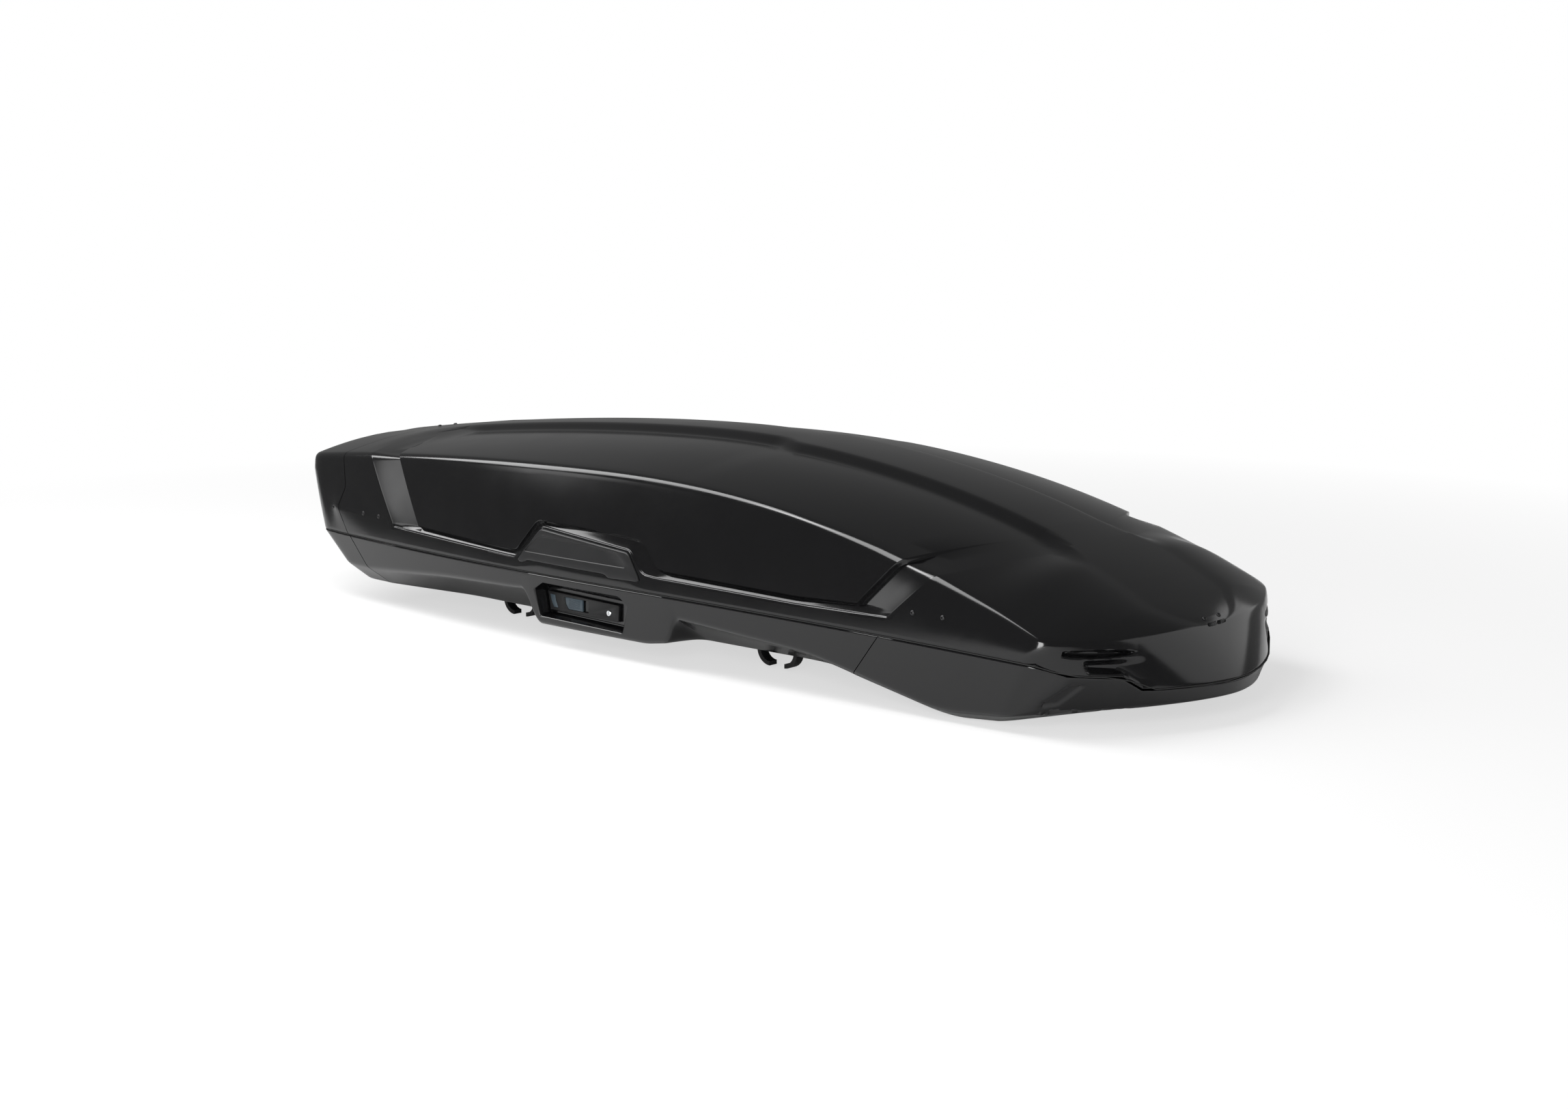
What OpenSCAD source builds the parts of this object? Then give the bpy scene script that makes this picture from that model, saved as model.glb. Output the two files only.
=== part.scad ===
// Roof cargo box. +X points to the nose, -Y is the vehicle's right side, +Z is up.
// The origin is under the middle of the box, on the plane that it stands on.
// Heights named *_rise or *_fall are measured from the seam between lid and base.

/* [Overall] */
// Length from the tail to the nose
length = 2384; // [2200:1:2600]
// Width at the widest place of the seam
width = 900; // [840:1:960]
// Height of the seam above the lowest point of the nose
seam_height = 160; // [160:1:180]

/* [Shells] */
// Wall of the lid
lid_wall = 4; // [3:0.5:6]
// Wall of the base
base_wall = 4.5; // [3:0.5:6]
// Gap between the rims of lid and base
rim_gap = 3; // [2.5:0.5:5]
// Gap between a shell and its end cap
cap_gap = 0.3; // [0.2:0.1:1]

/* [Lid form] */
// Rise of the side crest at its highest place
crest_rise = 230; // [200:1:250]
// Rise of the raised spine at its highest place
spine_rise = 290; // [270:1:310]
// Half width of the spine behind its jog
spine_half_rear = 62; // [50:1:75]
// Half width of the spine in front of its jog
spine_half_front = 86; // [76:1:100]
// Height of the spine above the panels beside it
spine_step = 17; // [8:1:25]
// Inward lean of the side walls, per millimetre of height
wall_lean = 0.17; // [0.1:0.01:0.2]

/* [Base form] */
// Depth of the floor's underside below the seam
floor_drop = 108; // [100:1:120]
// Depth of the lock housings below the seam
housing_drop = 118; // [112:1:124]
// Inward lean of the base's side walls, per millimetre of depth
base_lean = 0.12; // [0.05:0.01:0.16]

/* [Roof-bar clamps] */
// Distance between the two roof bars
bar_spacing = 785; // [740:1:820]
// Distance of each clamp from the middle of the box
clamp_y = 285; // [270:1:290]
// Distance of a jaw's pivot from the middle of its clamp
jaw_pivot_x = 45; // [42:1:50]
// Radius of a jaw's pivot pin
jaw_pin_r = 4; // [3:0.5:5]
// Width of a jaw along its pivot
jaw_width = 22; // [18:1:24]
// Outer radius of a claw
claw_r = 34; // [30:1:34]
// Diameter of a torque knob
knob_d = 54; // [44:1:58]

/* [Locks] */
// Distance that the thumb slider and the lock rod travel
lock_travel = 18; // [12:1:19]
// Depth of the lock plate behind the side of the base
plate_depth = 35; // [30:1:36]
// Radius of the key cylinder
key_r = 6.5; // [5:0.5:8]
// Length of a lock rail
rail_length = 900; // [800:10:940]
// Distance between neighbouring striker studs
stud_pitch = 340; // [300:10:380]
// Radius of a striker stud's neck
stud_r = 2.5; // [2:0.25:3]

/* [Lid lifters] */
// Distance of the lifters' lower pivots inside the widest place of the seam
lifter_pivot_inset = 45; // [42:1:50]
// Radius of a lifter's pivot pin
lifter_pin_r = 4; // [3:0.5:5]
// Outer radius of a lifter's tube
lifter_tube_r = 10; // [9:0.5:12]
// Radius of a lifter's rod
lifter_rod_r = 5; // [4:0.5:6]

/* [Fittings] */
// Radius of a screw's head
screw_r = 5; // [4:0.5:6]
// Radius of a lid light
light_r = 30; // [24:1:34]
// Thickness of the floor mat
mat_thickness = 2; // [1.5:0.5:4]
// Proud height of the grip trims
trim_height = 7; // [4:0.5:8]
// Clearance between pieces that slide or only touch
slip = 0.3; // [0.2:0.05:0.4]

/* [Hidden] */

$fn = 48;
eps = 0.01;

// ---- small helpers ----
function mix(a, b, t) = a + (b - a) * t;
function clamp01(t) = min(max(t, 0), 1);
function smooth(t) = let (c = clamp01(t)) c * c * (3 - 2 * c);
function unit(v) = v / norm(v);
function between(list, u) =
    let (k = min(floor(u), len(list) - 2))
    mix(list[k], list[k + 1], u - k);
function flipped(list) = [for (k = [len(list) - 1 : -1 : 0]) list[k]];

// ---- plan and side outlines of the box ----
tail_x = -length / 2;
nose_x = length / 2;
half_width = width / 2;
widest_x = -200;
tail_seam_x = tail_x + 92;
corner_seam_x = nose_x - 188;
corner_crest_x = nose_x - 171;
crest_tip_x = nose_x - 53;
tail_narrowing = 62;
nose_narrowing = 57;
seam_dip = 21;
seam_dip_start_x = -500;
crest_top_x = -100;
crest_fall_rear = 55;
crest_fall_front = 211;
spine_top_x = -50;
spine_fall_rear = 79.4;
spine_fall_front = 222;
nose_curl = 53;
spine_crown = 3;
seam_bow_power = 1.84;
crest_bow_power = 2.3;
nose_first_f = 0.12;
nose_first_bow = pow(nose_first_f, seam_bow_power);
lid_tip_x = (nose_x - corner_seam_x * nose_first_bow) / (1 - nose_first_bow);
tail_round = 28;
tail_round_span = 0.3;
side_bulge = 3;

function half_w(x) = x < widest_x
    ? half_width - tail_narrowing * pow((widest_x - x) / (widest_x - tail_seam_x), 2)
    : half_width - nose_narrowing * pow((x - widest_x) / (corner_seam_x - widest_x), 1.5);
function seam_z(x) =
    seam_height - seam_dip * pow(max(0, (x - seam_dip_start_x) / (corner_seam_x - seam_dip_start_x)), 3);
function side_crest_z(x) = seam_height + (x < crest_top_x
    ? crest_rise - crest_fall_rear * pow((crest_top_x - x) / (crest_top_x - tail_seam_x), 1.9)
    : crest_rise - crest_fall_front * pow((x - crest_top_x) / (corner_crest_x - crest_top_x), 2.2));
function side_crest_y(x) = half_w(x) - wall_lean * (side_crest_z(x) - seam_z(x));
corner_y = half_w(corner_seam_x);
corner_crest_y = side_crest_y(corner_crest_x);
corner_crest_z = side_crest_z(corner_crest_x);

// The spine's height along the middle of the lid
function spine_z(x) = seam_height + (x < spine_top_x
    ? spine_rise - spine_fall_rear * pow((spine_top_x - x) / (spine_top_x - tail_seam_x), 1.72)
    : let (t = (x - spine_top_x) / (crest_tip_x - spine_top_x))
      spine_rise - spine_fall_front * t * t - nose_curl * pow(t, 6));
tip_crest_z = spine_z(crest_tip_x);

// The nose is drawn by f, which runs from 1 at its corner to 0 at its middle
nose_seam_drop = [[0, 80], [0.55, 75], [0.66, 49], [0.88, 41], [1, seam_dip]];
function nose_seam_x(f) = mix(lid_tip_x, corner_seam_x, pow(f, seam_bow_power));
function nose_seam_z(f) = seam_height - lookup(f, nose_seam_drop);
function nose_crest_x(f) = mix(crest_tip_x, corner_crest_x, pow(f, crest_bow_power));
function nose_crest_z(f) = mix(tip_crest_z, corner_crest_z, f * f);

// The crest's place above any x, over the side and over the nose alike
function crest_f(x) =
    pow(clamp01((crest_tip_x - x) / (crest_tip_x - corner_crest_x)), 1 / crest_bow_power);
function crest_y(x) = x < corner_crest_x ? side_crest_y(x) : corner_crest_y * crest_f(x);
function crest_z(x) = x < corner_crest_x ? side_crest_z(x) : nose_crest_z(crest_f(x));

// ---- the lid's top ----
jog_x = 118;
jog_length = 50;
spine_fade_rear_x = tail_x + 220;
spine_fade_front_x = nose_x - 292;
pod_corner_x = tail_x + 320;
pod_corner_run = 105;
pod_corner_y = 250;
panel_power = 1.8;
foot_run = 28;
function spine_half(x) =
    mix(spine_half_rear, spine_half_front, smooth((x - jog_x) / jog_length))
    + 34 * smooth((x - spine_fade_front_x + 90) / 120);
function spine_rise_at(x) = spine_step
    * smooth((x - spine_fade_rear_x) / 150) * (1 - smooth((x - spine_fade_front_x + 60) / 110));
function foot_y(x) =
    mix(pod_corner_y, spine_half(x) + foot_run, smooth((x - pod_corner_x) / pod_corner_run));
function lid_top_z(x, a) =
    let (yc = crest_y(x),
        zc = crest_z(x),
        half = min(spine_half(x), 0.4 * yc),
        foot = min(half + foot_run, 0.6 * yc),
        zs = spine_z(x),
        zf = zs - spine_rise_at(x))
    a < half ? zs + spine_crown * (1 - a * a / (half * half + eps)) * clamp01(yc / 150)
    : a < foot ? mix(zs, zf, (a - half) / (foot - half))
    : mix(zc, zf, 1 - pow(clamp01((a - foot) / (yc - foot + eps)), panel_power));

// ---- grid of the lid's outer face ----
// u counts the stations from the tail to the nose; v counts the rows from the right rim over the top
lid_seam_x = [tail_seam_x, tail_x + 222, tail_x + 450, tail_x + 552, -330, 100, nose_x - 632,
    nose_x - 547, corner_seam_x, lid_tip_x];
tail_bow = 6;
lid_crest_x = [tail_x + tail_bow, tail_x + 165, tail_x + 285, tail_x + 404, -330, 100, nose_x - 502,
    nose_x - 423, corner_crest_x, crest_tip_x];
top_shift = [-tail_bow, 0, -50, -60, 0, 0, 118, 112, 0, 1.5];
lid_u_end = 9;
lid_rows = 16;
side_rows = 4;
low_row_rise = 30;
mid_row_rise = 50;
function nose_f(u, u_corner) = 1 - (u - u_corner) * (1 - nose_first_f);
function tail_cut(u) =
    tail_round * (1 - sqrt(1 - pow(1 - clamp01(u / tail_round_span), 2)));
function lid_rim_point(u) = u > 8
    ? let (f = nose_f(u, 8)) [nose_seam_x(f), -corner_y * f, nose_seam_z(f)]
    : let (x = between(lid_seam_x, u)) [x, tail_cut(u) - half_w(x), seam_z(x)];
function lid_crest_point(u) = u > 8
    ? let (f = nose_f(u, 8)) [nose_crest_x(f), -corner_crest_y * f, nose_crest_z(f)]
    : let (x = between(lid_crest_x, u)) [x, tail_cut(u) - side_crest_y(x), side_crest_z(x)];
function lid_side_point(u, row) =
    let (a = lid_rim_point(u),
        b = lid_crest_point(u),
        h = b[2] - a[2],
        low = min(low_row_rise / h, 0.3),
        middle = min(mid_row_rise / h, 0.5),
        t = between([0, low, middle, (middle + 1) / 2, 1], row))
    mix(a, b, t) - [0, side_bulge * 4 * t * (1 - t), 0];
function lid_top_point(u, row) =
    let (c = lid_crest_point(u),
        yc = -c[1],
        half = min(spine_half(c[0]), 0.4 * yc),
        foot = min(foot_y(c[0]), 0.6 * yc),
        a = between([yc, mix(yc, foot, 0.45), foot, half, 0], row),
        x = c[0] + between(top_shift, u) * (1 - a / yc))
    [x, -a, u == 0 && row == 0 ? c[2] : lid_top_z(x, min(a, crest_y(x)))];
function lid_half_point(u, v) = v <= side_rows ? lid_side_point(u, v) : lid_top_point(u, v - side_rows);
function lid_point(u, v) = v <= lid_rows / 2
    ? lid_half_point(u, v)
    : let (p = lid_half_point(u, lid_rows - v)) [p[0], -p[1], p[2]];

// ---- grid of the base's outer face ----
// Stations: tail, rear cap seam, middle of the bay, lock housing (5), bay, front cap seam, chin, corner, tip
base_seam_x = [tail_seam_x, tail_x + 232, -579, -300, -270, 55, 120, 145, nose_x - 716, nose_x - 529,
    nose_x - 392, corner_seam_x, lid_tip_x];
base_edge_x = [tail_x + 182, tail_x + 292, -579, -300, -270, 55, 120, 145, nose_x - 716, nose_x - 596,
    nose_x - 410, nose_x - 247, lid_tip_x - 1];
base_floor_x = [tail_x + 247, tail_x + 354, -579, -300, -270, 55, 120, 145, nose_x - 716, nose_x - 632,
    nose_x - 402, nose_x - 292, nose_x - 60];
housing_lip = housing_drop - 4;
base_edge_drop = [73, 72, 49, 39, housing_lip, housing_lip, 104, 47, 70, 95, 140, 127, 110];
floor_edge_drop = [floor_drop, floor_drop, floor_drop, floor_drop, housing_drop, housing_drop, floor_drop,
    floor_drop, floor_drop, floor_drop + 10, seam_height, seam_height - 8, 118];
floor_edge_inset = [24, 30, 85, 95, 45, 45, 75, 95, 90, 62, 42, 45, 60];
floor_mid_drop = [floor_drop, floor_drop, floor_drop, floor_drop, floor_drop, floor_drop, floor_drop,
    floor_drop, floor_drop, floor_drop + 10, seam_height, seam_height - 8, 118];
floor_flat_y = 322;
floor_bow = 6;
base_u_end = 12;
base_rows = 8;
function base_rim_point(u) =
    (u > 11
        ? let (f = nose_f(u, 11)) [nose_seam_x(f), -corner_y * f, nose_seam_z(f)]
        : let (x = between(base_seam_x, u)) [x, tail_cut(u) - half_w(x), seam_z(x)])
    - [0, 0, rim_gap];
function base_low_point(u, xs, drops, inset) =
    let (drop = between(drops, u),
        in = between(inset, u) + base_lean * between(base_edge_drop, u))
    u > 11
        ? let (f = nose_f(u, 11), bow = pow(f, seam_bow_power), y = corner_y - in)
          [mix(xs[12], xs[11], bow), -y * f, seam_height - mix(drops[12], drops[11], f * f)]
        : let (x = between(xs, u))
          [x, tail_cut(u) + in - half_w(x), seam_height - drop];
function end_bow(u) = max(0, 1 - u) - max(0, u - 11);
no_inset = [for (k = [0 : base_u_end]) 0];
function base_half_point(u, v) =
    let (rim = base_rim_point(u),
        edge = base_low_point(u, base_edge_x, base_edge_drop, no_inset),
        corner = base_low_point(u, base_floor_x, floor_edge_drop, floor_edge_inset),
        inner = let (c = base_low_point(u, base_floor_x, floor_mid_drop, floor_edge_inset))
            [c[0] + floor_bow / 2 * end_bow(u), max(c[1], -floor_flat_y) + (c[1] > -floor_flat_y ? 8 : 0),
                c[2]],
        middle = [inner[0] + floor_bow / 2 * end_bow(u), 0, inner[2]])
    between([rim, edge, corner, inner, middle], v);
function base_point(u, v) = v <= base_rows / 2
    ? base_half_point(u, v)
    : let (p = base_half_point(u, base_rows - v)) [p[0], -p[1], p[2]];

// ---- walls made from a grid ----
function skin_point(part, u, v) = part == "lid" ? lid_point(u, v) : base_point(u, v);
function rows_of(part) = part == "lid" ? lid_rows : base_rows;
function end_of(part) = part == "lid" ? lid_u_end : base_u_end;
function out_sign(part) = part == "lid" ? 1 : -1;
function normal_at(part, u, v) =
    let (du = skin_point(part, min(u + 0.02, end_of(part)), v) - skin_point(part, max(u - 0.02, 0), v),
        dv = skin_point(part, u, min(v + 0.2, rows_of(part))) - skin_point(part, u, max(v - 0.2, 0)))
    out_sign(part) * unit(cross(du, dv));
// A point a given depth under the face; at the rims it moves level
function under(part, u, v, depth) =
    let (n = normal_at(part, u, v),
        rim = v == 0 || v == rows_of(part),
        m = rim ? unit([n[0], n[1], 0]) : n)
    skin_point(part, u, v) - m * depth;
// At the tail a lining's first ring keeps its neighbour's slope and lies one wall ahead of the rear face
tail_neighbour_u = 0.4;
function tail_lining(part, u, v, depth) =
    let (n = normal_at(part, u + tail_neighbour_u, v),
        rim = v == 0 || v == rows_of(part))
    skin_point(part, u, v) - depth * (rim ? [-1, n[1], 0] : [-1, n[1], n[2]]);
function skin_grid(part, us, vs, depth, at_tail = false, nose_shift = 0) =
    [for (i = [0 : len(us) - 1])
        [for (v = vs)
            i == 0 && at_tail
                ? tail_lining(part, us[i], v, depth)
                : under(part, us[i], v, depth) - [i == len(us) - 1 ? nose_shift : 0, 0, 0]]];

function quad(a, b, c, d) = [[a, b, c], [a, c, d]];
// A closed wall between two grids of points; an end is left open or closed across its width
module wall(outer, inner, close_first = false, close_last = false, flip = false) {
    n = len(outer) - 1;
    m = len(outer[0]) - 1;
    w = m + 1;
    inside = (n + 1) * w;
    points = concat([for (row = outer) each row], [for (row = inner) each row]);
    skin = [for (i = [0 : n - 1], j = [0 : m - 1])
        each quad(i * w + j, i * w + j + 1, (i + 1) * w + j + 1, (i + 1) * w + j)];
    lining = [for (f = skin) [f[2] + inside, f[1] + inside, f[0] + inside]];
    right_rim = [for (i = [0 : n - 1])
        each quad(i * w, (i + 1) * w, (i + 1) * w + inside, i * w + inside)];
    left_rim = [for (i = [0 : n - 1])
        each quad((i + 1) * w + m, i * w + m, i * w + m + inside, (i + 1) * w + m + inside)];
    first_end = close_first ? [
        for (j = [0 : m / 2 - 1]) each quad(m - j, m - j - 1, j + 1, j),
        for (j = [0 : m / 2 - 1]) each quad(j + inside, j + 1 + inside, m - j - 1 + inside, m - j + inside),
        each quad(m, 0, inside, m + inside)
    ] : [for (j = [0 : m - 1]) each quad(j, j + inside, j + 1 + inside, j + 1)];
    e = n * w;
    last_end = close_last ? [
        for (j = [0 : m / 2 - 1]) each quad(e + j, e + j + 1, e + m - j - 1, e + m - j),
        for (j = [0 : m / 2 - 1])
            each quad(e + m - j + inside, e + m - j - 1 + inside, e + j + 1 + inside, e + j + inside),
        each quad(e, e + m, e + m + inside, e + inside)
    ] : [for (j = [0 : m - 1]) each quad(e + j, e + j + 1, e + j + 1 + inside, e + j + inside)];
    faces = [for (f = concat(skin, lining, right_rim, left_rim, first_end, last_end))
        if (f[0] != f[1] && f[1] != f[2] && f[0] != f[2]) flip ? flipped(f) : f];
    polyhedron(points, faces);
}

module mirrored(side) {
    if (side < 0) children();
    else mirror([0, 1, 0]) children();
}

// ---- lid ----
cap_u = 1;
cap_u_gap = cap_gap / 2 / 130;
shell_black = [0.11, 0.11, 0.12];
satin_black = [0.08, 0.08, 0.085];
steel_grey = [0.62, 0.63, 0.65];
zinc_grey = [0.72, 0.73, 0.75];
rubber_black = [0.05, 0.05, 0.05];
lid_rows_all = [for (v = [0 : lid_rows]) v];
cap_stations = [0, 0.04, 0.12, 0.3, 0.65, cap_u - cap_u_gap];
lid_stations = [cap_u + cap_u_gap, 1.5, 2, 2.5, 3, 3.35, 3.7, 4, 4.25, 4.5, 4.75, 5, 5.25, 5.5, 5.75, 6,
    6.5, 7, 7.35, 7.7, 7.9, 8, 8.08, 8.18, 8.3, 8.42, 8.55, 8.7, 8.85, 9];
module lid_shell() {
    color(shell_black) wall(
        skin_grid("lid", lid_stations, lid_rows_all, 0),
        skin_grid("lid", lid_stations, lid_rows_all, lid_wall, nose_shift = lid_wall),
        close_last = true);
}
module lid_rear_cap() {
    color(shell_black) wall(
        skin_grid("lid", cap_stations, lid_rows_all, 0),
        skin_grid("lid", cap_stations, lid_rows_all, lid_wall, at_tail = true),
        close_first = true);
}

// A cross strap that follows the underside of the lid's top
stiffener_thickness = 3;
stiffener_rows = [5, 6, 7, 8, 9, 10, 11];
module stiffener(u_from, u_to) {
    us = [u_from, u_to];
    color(steel_grey) wall(
        skin_grid("lid", us, stiffener_rows, lid_wall + slip),
        skin_grid("lid", us, stiffener_rows, lid_wall + slip + stiffener_thickness));
}

// ---- grip trims: a low pad on each side of the lid, with a rounded hand grip above the lock ----
grip_left_x = -318;
grip_right_x = 58;
grip_top_left_x = -248;
grip_top_right_x = 18;
grip_low_rise = 18;
grip_top_rise = 93;
grip_columns = 8;
function lid_side_y(x, z) =
    let (t = clamp01((z - seam_z(x)) / (side_crest_z(x) - seam_z(x))))
    half_w(x) - wall_lean * (z - seam_z(x)) + side_bulge * 4 * t * (1 - t);
function grip_outline(t, s) =
    let (x = mix(mix(grip_left_x, grip_right_x, t), mix(grip_top_left_x, grip_top_right_x, t), s),
        z = seam_z(x) + mix(grip_low_rise, grip_top_rise - 12 * t, s))
    [x, z];
function grip_grid(out) = [for (i = [0 : grip_columns]) [for (j = [0 : 3])
    let (p = grip_outline(i / grip_columns, j / 3),
        edge = i == 0 || i == grip_columns || j == 0 || j == 3,
        o = out > 1 && edge ? out - 4 : out)
    [p[0], -lid_side_y(p[0], p[1]) - o, p[1]]]];
module grip_trim(side) {
    mirrored(side) color(satin_black) wall(grip_grid(trim_height), grip_grid(slip));
}

// ---- screws with domed heads ----
side_screws = [[tail_x + 150, 55], [tail_x + 285, 55], [tail_x + 351, 55], [nose_x - 456, 52],
    [nose_x - 389, 53]];
top_screw_y = 25;
top_screw_x = [tail_x + 107, crest_tip_x - 12];
head_height = 2.6;
side_screw_seat = 0.6;
module screw_head() {
    cap_r = (screw_r * screw_r + head_height * head_height) / (2 * head_height);
    difference() {
        translate([0, 0, head_height - cap_r]) sphere(cap_r);
        translate([0, 0, -2 * cap_r]) cube([4 * cap_r, 4 * cap_r, 4 * cap_r], center = true);
        cylinder(h = 3 * head_height, r = 1.6, $fn = 6);
    }
}
module lid_side_screws() {
    lean_angle = atan(wall_lean);
    color(satin_black) for (side = [-1, 1], s = side_screws) mirrored(side)
        translate([s[0], -lid_side_y(s[0], seam_z(s[0]) + s[1]) - side_screw_seat, seam_z(s[0]) + s[1]])
            rotate([90 - lean_angle, 0, 0]) screw_head();
}
module lid_top_screws() {
    color(satin_black) for (x = top_screw_x, side = [-1, 1]) {
        slope = (lid_top_z(x + 4, top_screw_y) - lid_top_z(x - 4, top_screw_y)) / 8;
        translate([x, side * top_screw_y, lid_top_z(x, top_screw_y) + slip])
            rotate([0, -atan(slope), 0]) screw_head();
    }
}

// ---- lid lights: a round lamp under the spine with a push button in its middle ----
light_x = [-280, 40];
light_lift = [0.7, 0.3];
light_height = 16;
button_r = 9;
button_travel = 2;
button_proud = 3;
function light_top(x) = min(spine_z(x - light_r), spine_z(x + light_r))
    + spine_crown * (1 - light_r / spine_half_rear) - lid_wall - slip;
module lid_light(k) {
    x = light_x[k];
    z = light_top(x) + light_lift[k];
    color([0.85, 0.85, 0.82]) translate([x, 0, z - light_height]) difference() {
        cylinder(h = light_height, r = light_r);
        translate([0, 0, -1]) cylinder(h = light_height - 3, r = button_r + slip);
    }
}
module light_button(k) {
    x = light_x[k];
    z = light_top(x) + light_lift[k];
    color(satin_black) translate([x, 0, z - light_height - button_proud])
        cylinder(h = light_height - 4 + button_proud - button_travel - slip, r = button_r);
}

// ---- base ----
front_cap_u = 9;
rear_cap_u = 1;
base_rows_all = [for (v = [0 : base_rows]) v];
base_gap_u = cap_gap / 2 / 140;
rear_cap_stations = [0, 0.04, 0.12, 0.3, 0.65, rear_cap_u - base_gap_u];
base_stations = [rear_cap_u + base_gap_u, 1.5, 2, 2.5, 3, 4, 4.5, 5, 6, 7, 7.35, 7.7, 8, 8.5,
    front_cap_u - base_gap_u];
front_cap_stations = [front_cap_u + base_gap_u, 9.35, 9.7, 10, 10.35, 10.7, 11, 11.08, 11.18, 11.3, 11.42,
    11.55, 11.7, 11.85, 12];
floor_bottom_z = seam_height - floor_drop;
floor_top_z = floor_bottom_z + base_wall;

// The two roof bars cross the middle of the front and the rear clamps
front_bar_x = 300;
rear_bar_x = front_bar_x - bar_spacing;
bars = [rear_bar_x, front_bar_x];
slot_half_length = jaw_pivot_x + 38;
slot_half_width = jaw_width / 2 + 3;

// Outline of the lock recess in the side of the base, as x and depth below the seam
recess_outline = [[-239, -19], [-268, -36], [-257, -97], [-6, -101], [18, -39], [-6, -20]];
function recess_points(inset) = [for (k = [0 : 5])
    let (a = recess_outline[(k + 5) % 6],
        b = recess_outline[k],
        c = recess_outline[(k + 1) % 6],
        d = unit(b - a),
        e = unit(c - b),
        n = [-d[1], d[0]],
        m = [-e[1], e[0]],
        turn = unit(n + m))
    b + [0, seam_height] + turn * inset / (turn * n)];
recess_front_y = half_width + 2;
plate_face_y = recess_front_y - plate_depth;
bezel_back_y = plate_face_y - 8;
bezel_wall = 3;
module recess_prism(inset, y_from, y_to) {
    translate([0, -y_from, 0]) rotate([90, 0, 0])
        linear_extrude(height = y_to - y_from) polygon(recess_points(inset));
}
module base_shell() {
    color(shell_black) difference() {
        wall(
            skin_grid("base", base_stations, base_rows_all, 0),
            skin_grid("base", base_stations, base_rows_all, base_wall),
            flip = true);
        for (side = [-1, 1]) mirrored(side) recess_prism(0, bezel_back_y + 6, recess_front_y + 28);
        for (x = bars, side = [-1, 1])
            translate([x - slot_half_length, side * clamp_y - slot_half_width, floor_bottom_z - 3])
                cube([2 * slot_half_length, 2 * slot_half_width, base_wall + 6]);
    }
}
module base_rear_cap() {
    color(shell_black) wall(
        skin_grid("base", rear_cap_stations, base_rows_all, 0),
        skin_grid("base", rear_cap_stations, base_rows_all, base_wall, at_tail = true),
        close_first = true, flip = true);
}
module base_front_cap() {
    color(shell_black) wall(
        skin_grid("base", front_cap_stations, base_rows_all, 0),
        skin_grid("base", front_cap_stations, base_rows_all, base_wall, nose_shift = base_wall),
        close_last = true, flip = true);
}

// ---- rim seal: a rubber strip on the base's rim, round the whole box ----
seal_width = 3.6;
seal_inset = 0.5;
seal_seat = 0.1;
seal_headroom = 0.8;
module rim_seal() {
    stations = concat(rear_cap_stations, base_stations, front_cap_stations);
    last = len(stations) - 1;
    outer = [for (u = stations) under("base", u, 0, seal_inset)];
    inner = [for (i = [0 : last]) under("base", stations[i], 0, seal_inset + seal_width)
        + [i == 0 ? seal_width : 0, 0, 0] - [i == last ? seal_width : 0, 0, 0]];
    outer_loop = concat(outer, [for (p = flipped(outer)) [p[0], -p[1], p[2]]]);
    inner_loop = concat(inner, [for (p = flipped(inner)) [p[0], -p[1], p[2]]]);
    n = len(outer_loop);
    low = [0, 0, seal_seat];
    high = [0, 0, rim_gap - seal_headroom];
    points = concat([for (p = outer_loop) p + low], [for (p = inner_loop) p + low],
        [for (p = outer_loop) p + high], [for (p = inner_loop) p + high]);
    faces = [for (i = [0 : n - 1]) let (k = (i + 1) % n) each concat(
        quad(i, i + n, k + n, k),
        quad(i + 2 * n, k + 2 * n, k + 3 * n, i + 3 * n),
        quad(i, k, k + 2 * n, i + 2 * n),
        quad(i + n, i + 3 * n, k + 3 * n, k + n))];
    color(rubber_black) polyhedron(points, [for (f = faces) flipped(f)]);
}

mat_rear_x = tail_x + 380;
mat_front_x = nose_x - 720;
mat_half_y = 235;
module floor_mat() {
    color([0.16, 0.16, 0.17]) translate([mat_rear_x, -mat_half_y, floor_top_z + slip])
        cube([mat_front_x - mat_rear_x, 2 * mat_half_y, mat_thickness]);
}

// A steel channel between the two clamps of one side
clamp_plate_length = 196;
floor_rail_width = 40;
floor_rail_height = 9;
module floor_rail(side) {
    from = rear_bar_x + clamp_plate_length / 2 + 1;
    to = front_bar_x - clamp_plate_length / 2 - 1;
    color(steel_grey) translate([from, side * clamp_y - floor_rail_width / 2, floor_top_z])
        difference() {
            cube([to - from, floor_rail_width, floor_rail_height]);
            translate([-1, 2, -1]) cube([to - from + 2, floor_rail_width - 4, floor_rail_height - 1]);
        }
}

// ---- lock bezel, plate, slider, status window and key ----
slider_x = -201;
slider_length = 55;
slider_z = seam_height - 76;
slider_height = 25;
key_x = -65;
key_z = seam_height - 68;
stem_length = 12;
stem_height = 6;
stem_x = slider_x + 14;
stem_z = slider_z + 10;
plate_thickness = 5;
module stem_slot(y_from, y_to) {
    translate([stem_x - slip, -y_to, stem_z - slip])
        cube([stem_length + lock_travel + 2 * slip, y_to - y_from, stem_height + 2 * slip]);
}
module lock_bezel(side) {
    mirrored(side) color(shell_black) difference() {
        recess_prism(slip, bezel_back_y, recess_front_y - 14);
        recess_prism(slip + bezel_wall, bezel_back_y + bezel_wall, recess_front_y + 10);
        stem_slot(bezel_back_y - 1, bezel_back_y + bezel_wall + 1);
        translate([key_x, -bezel_back_y + 1, key_z]) rotate([90, 0, 0]) cylinder(h = 6, r = key_r + slip);
    }
}
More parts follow.
